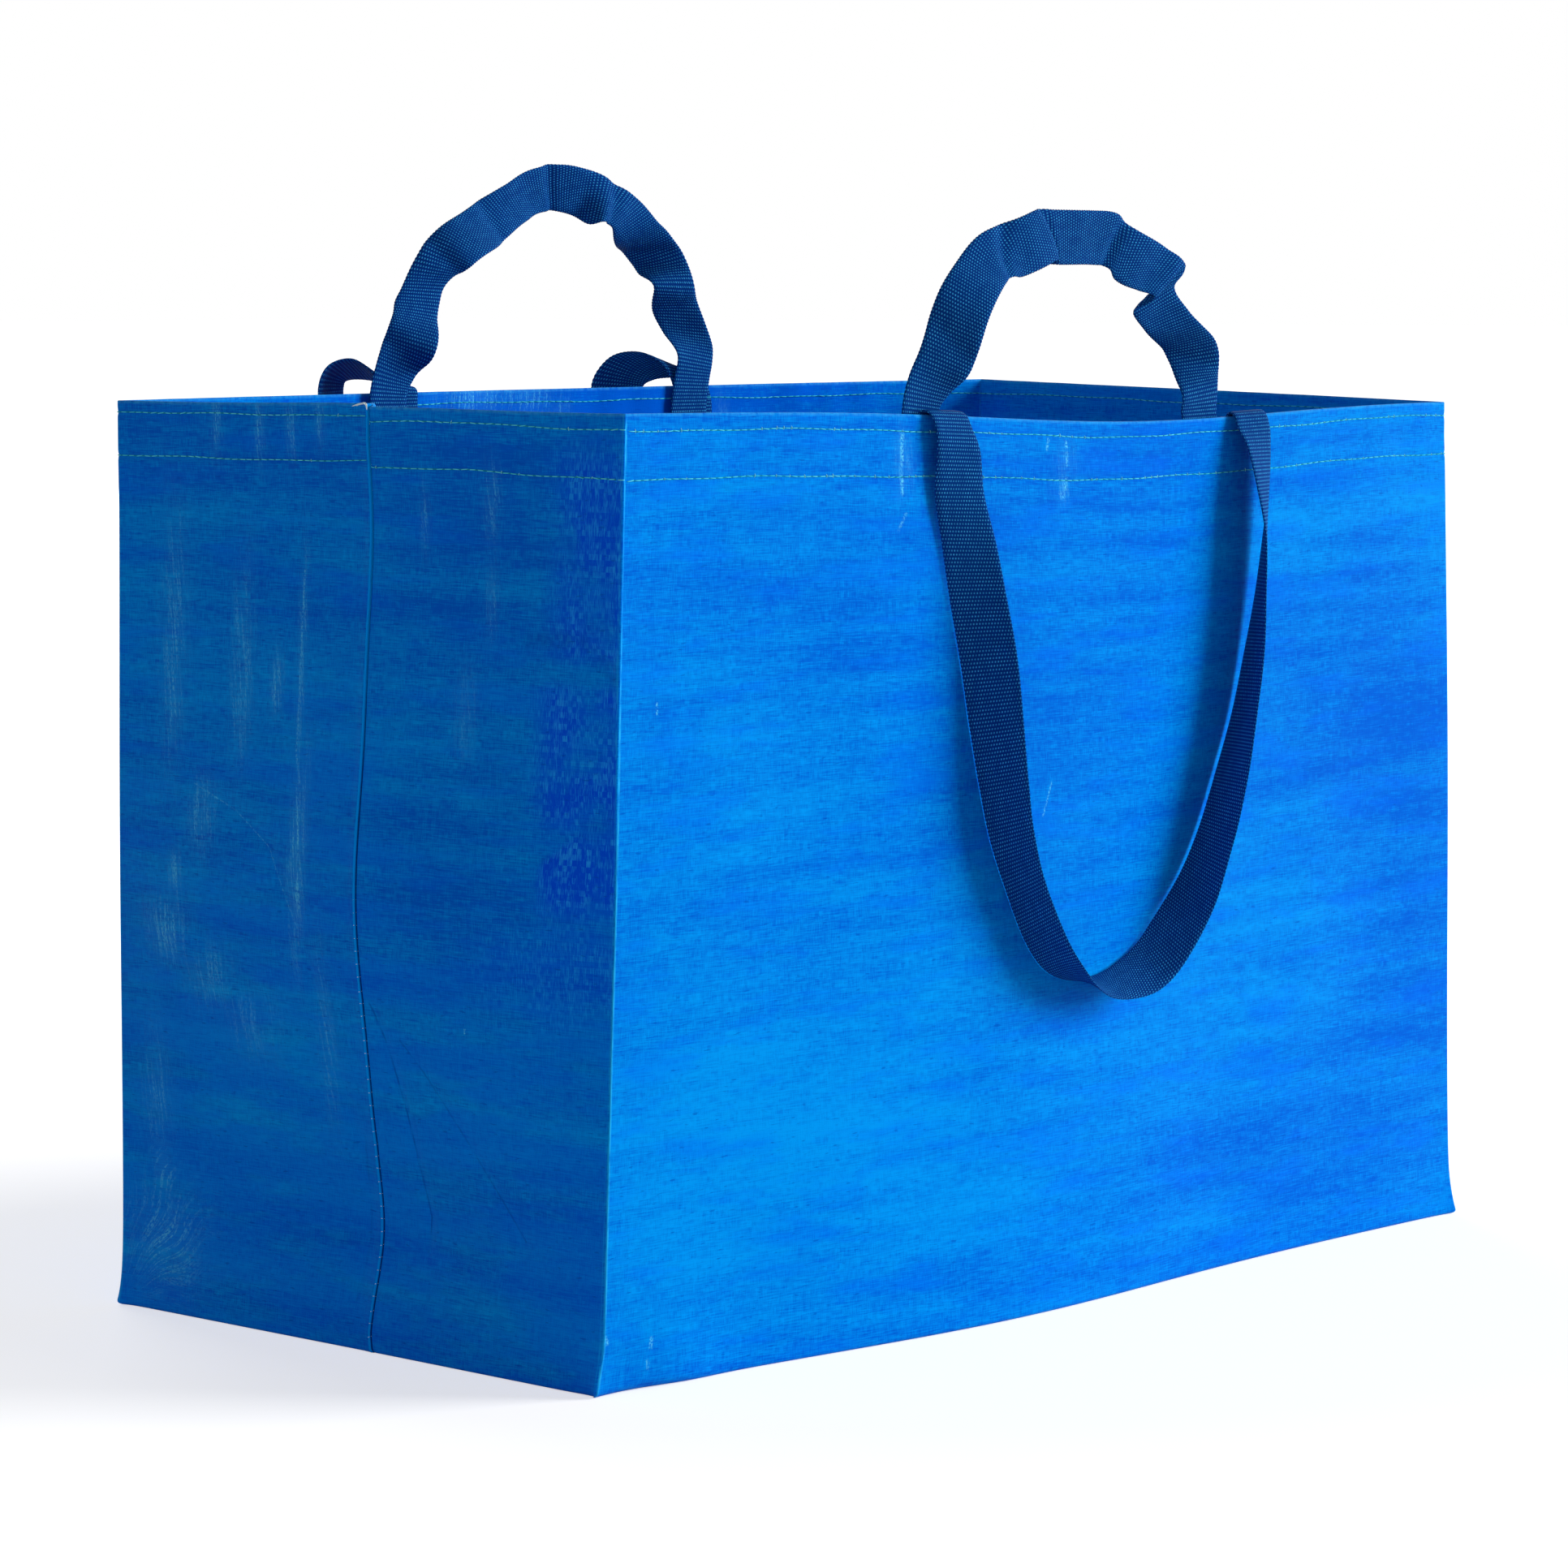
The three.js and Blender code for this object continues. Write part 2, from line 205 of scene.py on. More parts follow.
def make_piece(name, points, faces, material, attributes):
    """A closed mesh in metres, turned outward, with its point attributes."""
    mesh = bpy.data.meshes.new(name)
    mesh.from_pydata((points * MM).tolist(), [], faces)
    mesh.calc_loop_triangles()
    corners = read(mesh.loop_triangles, "vertices", width=3)
    a, b, c = points[corners].reshape(-1, 3, 3).transpose(1, 0, 2)
    if np.einsum("ij,ij->", a, np.cross(b, c)) < 0:
        mesh.flip_normals()
    mesh.polygons.foreach_set("use_smooth", [True] * len(mesh.polygons))
    for key, values in attributes.items():
        add_layer(mesh, key, values, "POINT")
    mesh.materials.append(material)
    piece = bpy.data.objects.new(name, mesh)
    bpy.context.scene.collection.objects.link(piece)
    return piece


def loop_faces(rows, columns):
    """Quads between rows of closed rings."""
    k = np.arange(rows - 1)[:, None] * columns
    i = np.arange(columns)[None, :]
    j = (i + 1) % columns
    quads = np.stack([k + i, k + j, k + columns + j, k + columns + i], axis=-1)
    return quads.reshape(-1, 4).tolist()


def tubes(name, paths, normals, radius, tint, material):
    """Round threads of one length in points. normals point away from the cloth and set each ring's frame."""
    count, length, _ = paths.shape
    sides = 6
    along = unit(np.gradient(paths, axis=1))
    across = unit(np.cross(along, normals))
    rise = np.cross(across, along)
    angle = np.arange(sides) * 2 * math.pi / sides
    taper = np.ones(length)
    taper[[0, -1]] = 0.6
    spokes = np.cos(angle)[:, None] * rise[:, :, None, :] + np.sin(angle)[:, None] * across[:, :, None, :]
    points = paths[:, :, None, :] + radius * taper[:, None, None] * spokes
    faces = []
    one = np.array(loop_faces(length, sides))
    for i in range(count):
        start = i * length * sides
        faces += (one + start).tolist()
        faces.append([start + k for k in reversed(range(sides))])
        faces.append([start + (length - 1) * sides + k for k in range(sides)])
    tints = np.broadcast_to(np.broadcast_to(tint, (count, length))[:, :, None], points.shape[:3])
    return make_piece(name, points.reshape(-1, 3), faces, material, {"tint": tints.ravel()})


# Columns of each wall and corner, distance of the column beside a fold, and rings of the underside and of the
# floor as shares of their outlines
FRONT_COLS = 100
BACK_COLS = 80
FAR_COLS = 24
NEAR_COLS = 62
CORNER_COLS = 6
FOLD_COLUMN = 0.6
UNDER_SHARES = (0.96, 0.7, 0.35)
FLOOR_SHARES = (0.98, 0.94, 0.86, 0.74, 0.6, 0.45, 0.3, 0.15)

# Seam sections as (step, depth inward). The first flap's lip stands proud, the second lies lower.
SEAM_LIP = [(-2.2, -0.35), (-0.9, -0.75), (-0.25, -0.6), (0.0, 0.1)]
SEAM_LOW = [(0.0, 0.55), (0.35, 0.2), (1.6, 0.0)]
SEAM_FLANK = [(1.3, 0.1), (0.9, 1.5), (0.8, SEAM_FIN - 0.3), (0.4, SEAM_FIN)]
SEAM_INSIDE = [
    (-SEAM_REACH, 0.0), (-3.0, 0.0), *[(-step, depth) for step, depth in SEAM_FLANK],
    *SEAM_FLANK[::-1], (SEAM_REACH, 0.0),
]


def seam_section(h, inside):
    """Steps along the wall and depths of an end seam. Its mouth opens towards the rim."""
    if inside:
        fin = mix(1.0, 0.35, smooth(BELOW_HEM, HEM_EDGE, h * HEIGHT))
        return [(step - FIN_LEAN * max(0.0, fin * depth - 2), fin * depth) for step, depth in SEAM_INSIDE]
    mouth = 0.1 + 0.15 * smooth(0.55, 1.0, h)
    bottom = SEAM_GROOVE * min(1.0, 60 * h)
    lip = [(step - mouth, depth) for step, depth in SEAM_LIP]
    low = [(step + mouth, depth) for step, depth in SEAM_LOW]
    floor = [(-0.5 * mouth, bottom), (0.5 * mouth, bottom)]
    return [(-SEAM_REACH, 0.0)] + lip + floor + low + [(SEAM_REACH, 0.0)]


def spread(columns, span, first=True, last=True):
    """Shares of a wall's columns, with one more close to each corner fold that it meets."""
    shares = np.linspace(0, 1, columns)
    close = FOLD_COLUMN / span
    before = [0.0, close] if first else [0.0]
    after = [1 - close, 1.0] if last else [1.0]
    return np.concatenate([before, shares[1:-1], after])


def outline(h, inset, inside):
    """One level of the sheet in plan, as rows of x, y, outward normal and run."""
    a = HALF_X - inset
    b = HALF_Y - inset
    r = max(0.4, CREASE_R - inset)
    rows = []

    def straight(start, end, normal, runs, shares):
        for t in shares:
            place = (mix(start[0], end[0], t), mix(start[1], end[1], t))
            rows.append((*place, *normal, mix(runs[0], runs[1], t)))

    def corner(cx, cy, quarter, run):
        for i in range(1, CORNER_COLS + 1):
            t = i / (CORNER_COLS + 1)
            c = math.cos((quarter + t) * math.pi / 2)
            s = math.sin((quarter + t) * math.pi / 2)
            rows.append((cx + r * c, cy + r * s, c, s, run + (2 * t - 1) * CREASE_R))

    def end_wall(side, run, seam_run, columns):
        normal = (side, 0)
        before = (side * a, side * (SEAM_SHIFT - SEAM_REACH))
        after = (side * a, side * (SEAM_SHIFT + SEAM_REACH))
        first = (run + CREASE_R, seam_run - SEAM_REACH)
        last = (seam_run + SEAM_REACH, run + DEPTH - CREASE_R)
        shares = spread(columns, HALF_Y, last=False)[:-1]
        straight((side * a, side * (r - b)), before, normal, first, shares)
        for step, depth in seam_section(h, inside):
            rows.append((side * (a - depth), side * (SEAM_SHIFT + step), side, 0, seam_run + step))
        shares = spread(columns, HALF_Y, first=False)[1:]
        straight(after, (side * a, side * (b - r)), normal, last, shares)

    front = spread(FRONT_COLS, LENGTH)
    back = spread(BACK_COLS, LENGTH)
    straight((r - a, -b), (a - r, -b), (0, -1), (CREASE_R, FRONT_RUN - CREASE_R), front)
    corner(a - r, r - b, -1, FRONT_RUN)
    end_wall(1, FRONT_RUN, FAR_SEAM, FAR_COLS)
    corner(a - r, b - r, 0, FAR_RUN)
    straight((a - r, b), (r - a, b), (0, 1), (FAR_RUN + CREASE_R, BACK_RUN - CREASE_R), back)
    corner(r - a, b - r, 1, BACK_RUN)
    end_wall(-1, BACK_RUN, NEAR_SEAM, NEAR_COLS)
    corner(r - a, r - b, 2, WHOLE_RUN)
    return np.array(rows)


# Stitch rows as depths below the rim at places of the run
HEM_RUNS = (0, 300, 590, 900, 1500, NEAR_SEAM - 1, NEAR_SEAM + 1, 1715, 1800)
HEM_DEPTHS = (
    (7.0, 7.1, 6.2, 6.8, 5.0, 4.9, 6.3, 5.6, 6.6),
    (26.7, 26.9, 25.2, 26.0, 23.8, 23.7, 25.7, 24.7, 26.7),
)


def hem_row(row, run):
    wander = 0.3 * np.sin(run / 23 + row) + 0.2 * np.sin(run / 9.3 + 2 * row)
    return np.interp(run, HEM_RUNS, HEM_DEPTHS[row]) + wander


# Paths of (run, height) on the near end wall that a crease shares with the thin mark along it
FORK_LEFT = ((1664, 150), (1672, 134), (1681, 105), (1691, 61), (1689, 46))
FORK_RIGHT = ((1680, 136), (1694, 123), (1720, 96), (1753, 58))
BULGE_EDGE = ((1551, 236), (1580, 226), (1603, 212), (1622, 179))
LOW_FOLD = ((1653, 92), (1652, 43), (1649, 21))

# Creases of the near end wall as paths, then width and depth
CREASES = [
    (FORK_LEFT, 2.6, 0.9),
    (FORK_RIGHT, 3.0, 0.8),
    (BULGE_EDGE, 3.0, 0.9),
    (((1627, 167), (1636, 135), (1650, 90)), 3.0, 0.7),
    (((1526, 179), (1565, 154), (1612, 121)), 7.0, -1.2),
    (((1519, 62), (1530, 44), (1534, 36)), 2.5, 0.7),
    (((1557, 54), (1544, 37), (1529, 21), (1506, 11)), 3.0, 0.9),
    (LOW_FOLD, 3.0, 0.5),
    (((1750, 307), (1778, 307), (1800, 294)), 5.0, 1.2),
    (((1761, 217), (1799, 243)), 4.0, 0.8),
]

# Sideways wander of the near end seam, as (height, shift towards the back wall)
SEAM_SWAY = [
    (0, -4.0), (8, -2.2), (60, -2.7), (90, -4.1), (130, -2.0), (200, 0.0), (280, 2.8), (320, 3.0),
    (400, 5.4),
]
SWAY_REACH = 45.0

# Reach of the fan of creases at the end wall's back corner
FAN_REACH = 75.0


def path_distance(x, y, path):
    best = np.full(np.shape(x), 1e9)
    for (x0, y0), (x1, y1) in zip(path, path[1:]):
        dx = x1 - x0
        dy = y1 - y0
        t = np.clip(((x - x0) * dx + (y - y0) * dy) / (dx * dx + dy * dy), 0, 1)
        best = np.minimum(best, np.hypot(x - x0 - t * dx, y - y0 - t * dy))
    return best


def corner_fan(run, z):
    """Places in that fan, across the creases and along them."""
    reach = np.hypot(run - BACK_RUN + 2, z - 2)
    turn = np.arctan2(z - 2, run - BACK_RUN + 2)
    return 42 * turn + 1.6 * np.sin(reach / 6), reach


def foot_inset(radius, z):
    """How far the rounded foot of a wall lies inside its face at a height."""
    below = np.maximum(radius - z, 0)
    return radius - np.sqrt(np.maximum(radius**2 - below**2, 0))


def relief(run, z):
    """Rise of the cloth's face over its smooth shape at one level."""
    lift = 0.5 * np.sin(run / 61 + 1.0) * math.sin(z / 83 + 0.4)
    lift = lift + 0.35 * np.sin(run / 29 + z / 51 + 2.0) + 0.2 * np.sin(run / 17 - z / 90 + 0.7)
    near = band(run, BACK_RUN, BACK_RUN + 4, WHOLE_RUN - 4, WHOLE_RUN)
    for path, width, depth in CREASES:
        lift = lift - near * depth * hump(path_distance(run, z, path), 0, width)
    turn, reach = corner_fan(run, z)
    fan = np.sin(turn / 2.4) * band(reach, 12, 25, 45, FAN_REACH)
    lift = lift + 0.35 * near * fan
    under_strap = band(run, 150, 175, 460, 485) * smooth(115, 140, z)
    lift = lift * smooth(0, 25, z) * (1 - 0.6 * smooth(350, 385, z)) * (1 - 0.75 * under_strap)
    depth = HEIGHT - z
    far_side = band(run, FRONT_RUN, FRONT_RUN + 15, BACK_RUN - 15, BACK_RUN)
    puckers = np.sin(run / 6.5 + 3 * np.sin(run / 23)) * smooth(75, 25, depth)
    lift = lift + 0.8 * far_side * puckers
    for row in range(2):
        lift = lift - 0.35 * hump(depth, hem_row(row, run), 1.1)
    return lift + 0.25 * hump(depth, 17, 7) * np.sin(run / 7.5 + 2 * np.sin(run / 31))


def ring(h, inset, inside=False):
    """Points of one level of the sheet and their runs."""
    plan = outline(h, inset, inside)
    x0, y0, nx, ny, run = plan.T
    u = x0 / HALF_X
    v = y0 / HALF_Y
    dx, dy, dz = stray(u, v, h)
    ear = EAR * np.minimum(1, np.abs(u * v)) ** 40 * math.exp(-40 * h)
    lift = relief(run, h * HEIGHT)
    past_seam = smooth(NEAR_SEAM - 0.4, NEAR_SEAM + 0.4, run)
    slip = SEAM_SLIP * past_seam * (WHOLE_RUN - run) / (WHOLE_RUN - NEAR_SEAM)
    level = max(h * HEIGHT - WALL, 0.0) if inside else h * HEIGHT
    lip = LIP * (hump(run, 30, 24) + 0.4 * hump(run, WHOLE_RUN, 12))
    lift = lift + ROLL * hump(run, 42, 26) * hump(level, 0, 24)
    lift = lift - foot_inset(FLOOR_R + lip, level) + foot_inset(FLOOR_R, level)
    pull = EDGE_PULL * (np.maximum(0, 1 - u) * np.maximum(0, 1 - v) / 4) ** 12
    pull = pull * band(h, 0.0, 0.06, 0.45, 0.95)
    rim = RIM_LIFT * ((1 - u) / 2) ** 3 * hump(v, -0.07, 0.5)
    x = x0 + dx + np.sign(u) * ear * 0.8 + nx * lift + pull
    sway = np.interp(h * HEIGHT, *zip(*SEAM_SWAY)) * hump(run, NEAR_SEAM, SWAY_REACH)
    y = y0 + dy + np.sign(v) * ear * 0.6 + ny * lift + sway
    z = h * HEIGHT + dz + rim * h**8 - np.maximum(slip, 0) * h**6
    return np.stack([x, y, z], axis=1), run


# Scuffed places, many on the near end wall painted glints, as run, height, half width, half height and
# strength
SCUFFS_AND_GLINTS = [
    (178, 380, 4, 12, 0.8), (292, 381, 5, 8, 0.7), (290, 369, 4, 6, 0.7), (1262, 397, 22, 7, 1.0),
    (1225, 396, 14, 7, 0.9), (1205, 390, 6, 6, 0.6), (1090, 384, 4, 10, 0.6), (948, 384, 5, 8, 0.8),
    (1563, 389, 2.5, 12, 1.0), (1590, 390, 2.5, 12, 1.0), (1610, 390, 2.5, 12, 1.0),
    (1629, 391, 2.5, 12, 0.9), (1536, 300, 7, 50, 0.6), (1536, 272, 5, 20, 0.9),
    (1580, 290, 6, 35, 0.7), (1580, 270, 5, 18, 0.9), (1602, 281, 4, 12, 0.8),
    (1618, 290, 2.5, 45, 0.7), (1622, 208, 4.5, 34, 1.2), (1558, 223, 7, 14, 0.9),
    (1541, 196, 4, 9, 0.8), (1536, 172, 12, 12, 1.0), (1565, 152, 14, 12, 0.6),
    (1590, 135, 16, 14, 0.4), (1636, 135, 4, 35, 0.5), (1525, 97, 8, 24, 0.6), (1527, 63, 6, 12, 0.8),
    (1528, 32, 22, 22, 0.8), (1690, 356, 2, 14, 0.6), (1727, 363, 4, 14, 0.7), (1728, 322, 3, 12, 0.7),
    (1716, 276, 5, 14, 0.6), (1120, 200, 60, 30, 0.5), (1010, 90, 25, 50, 0.6), (720, 150, 20, 60, 0.7),
    (820, 300, 12, 50, 0.6),
]

# Thin marks as paths of (run, height), half width and strength: pale scratches and nicks, then
# painted shade along creases
SCRATCHES = [
    (((177.5, 391), (177.5, 379)), 1.7, 1.0), (((177.5, 373), (177.5, 366)), 1.5, 0.9),
    (((180, 357), (175, 350)), 1.2, 0.5), (((293, 390), (293, 388)), 1.4, 0.9),
    (((293, 385), (293, 380)), 1.5, 0.8), (((293, 373), (292, 369)), 1.6, 0.8),
    (((288, 367), (290, 365)), 1.5, 0.8), (((280, 391), (279, 387)), 1.4, 0.7),
    (((279, 236), (272, 221)), 0.7, 0.9), (((24, 282), (24, 278)), 0.8, 1.0),
    (((2, 24), (3, 22)), 1.4, 0.9), (((28, 21), (27.5, 17)), 1.3, 0.8),
    (((26, 12), (26.5, 9)), 1.2, 0.7), (((1721, 144), (1721, 142.6)), 0.8, 1.0),
    (((1618, 330), (1617, 253), (1621, 240)), 0.8, 0.45), (BULGE_EDGE, 0.5, 0.35),
]
CREASE_SHADE_LINES = [
    (FORK_LEFT, 0.8, 0.7),
    (FORK_RIGHT, 0.7, 0.5),
    (LOW_FOLD, 1.0, 0.25),
    (((1750, 307), (1778, 308), (1800, 294)), 5.0, 0.4),
    (((112, 163), (116, 162)), 0.7, 0.8),
]

# Paler and deeper places as run, height, half width, half height and strength. Some are painted light:
# the inside of the far end is painted paler where it gets little light.
TONES_AND_PAINTED_LIGHT = [
    (70, 90, 110, 60, 0.55), (230, 110, 120, 45, 0.35), (450, 175, 90, 40, 0.4),
    (560, 70, 110, 80, -0.3), (570, 220, 70, 90, -0.1), (370, 330, 60, 40, -0.3),
    (540, 330, 50, 45, -0.3), (120, 330, 90, 30, -0.15), (1720, 330, 40, 70, -0.35),
    (1700, 205, 40, 45, -0.25), (300, 385, 400, 16, -0.2), (560, 230, 70, 70, -0.25),
    (150, 40, 160, 40, 0.35), (1600, 100, 110, 60, 0.3), (1150, 388, 300, 24, -0.9),
    (750, 370, 170, 60, 0.7),
]


def spots(run, z, places):
    """Strengths of all places at one level."""
    return [
        strength * hump(run, at, wide) * hump(z, level, tall)
        for at, level, wide, tall, strength in places
    ]


def sheet_marks(run, z):
    """How scuffed the cloth is, partly with painted glints, how strong its painted sheen is, and how much
    paler or deeper it is, partly as painted light, at one level.
    """
    # Scuffs, and on the near end wall painted glints
    scuff_and_glint = np.max(spots(run, z, SCUFFS_AND_GLINTS), axis=0)
    corner = smooth(WHOLE_RUN - 48, WHOLE_RUN - 20, run) * band(z, 292, 306, 372, 395)
    bright = smooth(WHOLE_RUN - 52, WHOLE_RUN - 30, run) * band(z, 222, 240, 284, 294)
    below = 217 + (run - 1761) * 0.68 - z
    wedge = smooth(1758, 1764, run) * smooth(0, 3, below) * smooth(186, 204, z)
    weak = 0.5 * smooth(WHOLE_RUN - 90, WHOLE_RUN - 30, run) * band(z, 140, 165, 180, 200)
    # Painted sheen of deep blue by the near edge, in patches and a wedge
    glow = np.maximum(np.maximum(0.9 * corner, bright), np.maximum(wedge, weak)) * (run < WHOLE_RUN)
    return scuff_and_glint, glow, np.sum(spots(run, z, TONES_AND_PAINTED_LIGHT), axis=0)


def streak_flow(run, z, skin):
    """Directions of the scuffs and painted glints as places across and along them: upright, but fanned at one
    corner.
    """
    turn, reach = corner_fan(run, z)
    fan = (run > BACK_RUN) & (run < BACK_RUN + FAN_REACH) & (z < FAN_REACH)
    across = np.where(fan, turn, run + 0.12 * z)
    along = np.where(fan, reach, z)
    return np.stack([across, along, np.full_like(run, skin)], axis=1)


def lay_cloth(mesh, cloth, floor, closing):
    """Cloth places for each face corner. The floor has its own, and the run goes on where the rings close."""
    corners = read(mesh.loops, "vertex_index")
    sides = read(mesh.polygons, "loop_total")
    plan = read(mesh.vertices, "co", np.float32, 3).reshape(-1, 3)[corners] / MM
    plan[:, 2] = FLOOR_SKIN
    place = np.where(np.repeat(floor, sides)[:, None], plan, cloth[corners])
    wraps = np.repeat(closing, sides) & (place[:, 0] < WHOLE_RUN / 2)
    place[wraps, 0] += WHOLE_RUN
    add_layer(mesh, "cloth", place, "CORNER")


def build_sheet(material):
    """The folded and sewn body as one closed skin. Also returns its two faces for the stitching."""
    bend = np.linspace(math.pi / 2, 0, 5)
    foot = [(FLOOR_R * (1 - math.sin(t)), FLOOR_R * (1 - math.cos(t))) for t in bend]
    heights = [3.2, 4.6, 6.5, 9.0, 12.0]
    heights += [*np.arange(15.0, BELOW_HEM, 3.1), *np.arange(BELOW_HEM, HEIGHT - 1.0, 1.3)]
    outer = foot + [(z, 0.0) for z in heights]
    top = HEIGHT - RIM_EDGE
    turn = [(top, 0.0), (HEIGHT, RIM_EDGE), (HEIGHT, 2 * WALL - RIM_EDGE), (top, 2 * WALL)]
    lining = [(z, 2 * WALL) for z in np.arange(HEIGHT - 2.0, HEM_EDGE, -2.0)]
    step = [(HEM_EDGE, 2 * WALL), (HEM_EDGE - 0.3, 1.8 * WALL), (HEM_EDGE - 0.6, WALL)]
    within = [(z, WALL) for z in [*np.arange(BELOW_HEM, 14.0, -7.0), 9.0, 5.0]]
    within += [(WALL + 1.6, WALL + 0.3), (WALL + 0.5, WALL + 1.2), (WALL, WALL + 2.6)]
    levels = [(z, inset, False) for z, inset in outer + turn[:2]]
    levels += [(z, inset, True) for z, inset in turn[2:] + lining + step + within]
    points = []
    cloth = []
    flow = []
    marks = []
    for z, inset, inside in levels:
        ring_points, run = ring(z / HEIGHT, inset, inside)
        skin = INNER_SKIN * inside
        points.append(ring_points)
        cloth.append(np.stack([run, np.full_like(run, z), np.full_like(run, skin)], axis=1))
        flow.append(streak_flow(run, z, skin))
        marks.append(np.stack(sheet_marks(run, z), axis=1))
    columns = len(points[0])
    floors = []
    for at, shares, swell in ((0, UNDER_SHARES, 0.0), (-1, FLOOR_SHARES, 1.0)):
        rings = []
        for share in shares:
            flat = points[at] * (share, share, 1.0)
            wave = np.sin(flat[:, 0] / 47 + 1) * np.sin(flat[:, 1] / 39 + 2)
            wave = wave + np.sin(flat[:, 0] / 90 - flat[:, 1] / 31)
            flat[:, 2] += swell * (1.0 + 0.5 * wave) * smooth(1.0, 0.85, share)
            rings.append(flat)
        floors.append(rings)
    rings = floors[0][::-1] + points + floors[1]
    under = len(UNDER_SHARES)
    faces = loop_faces(len(rings), columns)
    vertices = np.concatenate(rings + [[rings[0].mean(axis=0), rings[-1].mean(axis=0)]])
    last = len(vertices) - 2 - columns
    for i in range(columns):
        j = (i + 1) % columns
        faces.append([j, i, last + columns])
        faces.append([last + i, last + j, last + columns + 1])

    def whole(values):
        wide = np.concatenate(values)
        first = np.zeros((under * columns, wide.shape[1]))
        rest = np.zeros((len(vertices) - len(first) - len(wide), wide.shape[1]))
        return np.concatenate([first, wide, rest])

    marks = whole(marks)
    attributes = {"scuff_and_glint": marks[:, 0], "glow": marks[:, 1], "tone_and_painted_light": marks[:, 2], "flow": whole(flow)}
    piece = make_piece("bag_sheet", vertices, faces, material, attributes)
    order = np.arange(len(faces))
    is_floor = (order // columns < under) | (order // columns >= under + len(points) - 1)
    lay_cloth(piece.data, whole(cloth), is_floor, ~is_floor & (order % columns == columns - 1))
    plan = outline(0.9, 0.0, False)
    lining_start = len(outer) + 3
    lining_heights = np.array([top] + [z for z, _ in lining])
    lining_grid = np.array(points[lining_start : lining_start + len(lining_heights)])
    return piece, {
        "runs": plan[:, 4],
        "normals": plan[:, 2:4],
        "outside": (np.array([z for z, _ in outer]), np.array(points[: len(outer)])),
        "inside": (lining_heights[::-1], lining_grid[::-1]),
    }


def on_sheet(sheet, run, height, inside=False):
    """Points of the sheet at runs and heights, between its grid's points, and normals away from the cloth."""
    heights, grid = sheet["inside"] if inside else sheet["outside"]
    runs = sheet["runs"]
    i = np.clip(np.searchsorted(runs, run) - 1, 0, len(runs) - 2)
    k = np.clip(np.searchsorted(heights, height) - 1, 0, len(heights) - 2)
    s = ((run - runs[i]) / (runs[i + 1] - runs[i]))[..., None]
    t = ((height - heights[k]) / (heights[k + 1] - heights[k]))[..., None]
    point = mix(mix(grid[k, i], grid[k, i + 1], s), mix(grid[k + 1, i], grid[k + 1, i + 1], s), t)
    flat = unit(mix(sheet["normals"][i], sheet["normals"][i + 1], s))
    normal = np.concatenate([flat, np.zeros(flat.shape[:-1] + (1,))], axis=-1)
    return point, -normal if inside else normal


# Straps. A station is (along, up, out, fan, lean): the place of one edge of the webbing, measured along the
# wall, up from the rim and out from the wall's face, then the way to its other edge as angles in the wall's
# plane and out of it.
FOOT_LONG = -(2 * WALL + GAP + STRAP_T / 2)
FOOT_SHORT = FOOT_LONG - STRAP_T - GAP

# Front hand loop, from its left foot to its right foot
FRONT_ARCH = [
    (-117, -SEWN, 0, 0, 0), (-117, -10, 0, 0, 0), (-116, 4, 0, -4, 0), (-112, 15, 0, -13, 11),
    (-104, 27, 0, -24, 32), (-91, 51, 0, -29, 33), (-78, 64, 0, -29, 19), (-64, 74, 0, -45, 13),
    (-42, 81, 0, -70, 5), (-22, 87, 1, -64, 3), (-13, 87, 0, -74, -6), (16, 88, 0, -80, -14),
    (36, 87, 0, -88, -13), (46, 82, 0, -101, -14), (72, 73, 0, -129, -10), (86, 65, 3, -145, -11),
    (82, 57, -2, -150, -13), (93, 46, -2, -160, -24), (111, 33, 0, -166, -34), (115, 23, 0, -174, -26),
    (112, 13, 0, -173, -5), (112, 3, 0, -179, -4), (114, -8, 0, -180, 0), (114, -SEWN, 0, -180, 0),
]

# Back hand loop, which stands higher
BACK_ARCH = [
    (-135, -SEWN, 0, 0, 0), (-135, -10, 0, 0, 0), (-135, 0, 0, -3, 0), (-130, 15, 0, -19, -6),
    (-124, 27, 0, -22, -36), (-119, 38, 0, -9, -12), (-111, 52, 0, -3, -12), (-103, 63, 0, -18, -27),
    (-93, 73, 0, -37, -34), (-71, 84, 0, -40, -16), (-56, 91, 0, -38, -3), (-43, 97, 0, -43, 7),
    (-25, 104, 0, -56, 14), (-1, 107, 0, -73, 20), (15, 105, 0, -86, 16), (35, 99, 0, -128, -12),
    (52, 90, 0, -150, -4), (62, 82, 0, -152, 18), (72, 75, 0, -153, 36), (85, 61, 0, -166, 42),
    (90, 48, 0, -182, 10), (95, 37, 0, -181, 26), (102, 22, 0, -188, 24), (103, 11, 0, -189, 0),
    (101, 2, 0, -183, 0), (99, -10, 0, -180, 0), (99, -SEWN, 0, -180, 0),
]

# Shoulder loop hanging outside the wall, below its two turns over the rim
HANGING = [
    (-104, -14, 5, 0, 8), (-104, -34, 3, 1, 19), (-99, -56, 2, 1, 31), (-94, -81, 1.4, 4, 42),
    (-87.5, -108, 0.7, 10, 54), (-82, -140, 0.5, 26, 67), (-76.5, -168, 0.45, 54, 74),
    (-71, -190, 0.45, 84, 74), (-62, -212, 0.45, 104, 68), (-50, -236, 0.5, 106, 66),
    (-37, -250, 0.6, 126, 70), (-17, -256, 0.9, 176, 62), (3, -254, 1.5, 208, 46),
    (19, -249, 1.5, 234, 42), (33, -242, 1.5, 262, 46), (46, -232, 1.5, 272, 56),
    (68, -213, 1.5, 256, 66), (84, -193, 1.5, 216, 74), (99, -167, 1.5, 187, 72),
    (113, -140, 1.5, 176, 63), (123, -112, 2, 174, 57), (131, -85, 3, 176, 47), (137, -56, 4, 177, 38),
    (140, -36, 5, 178, 25), (142, -14, 5, 178, 10),
]

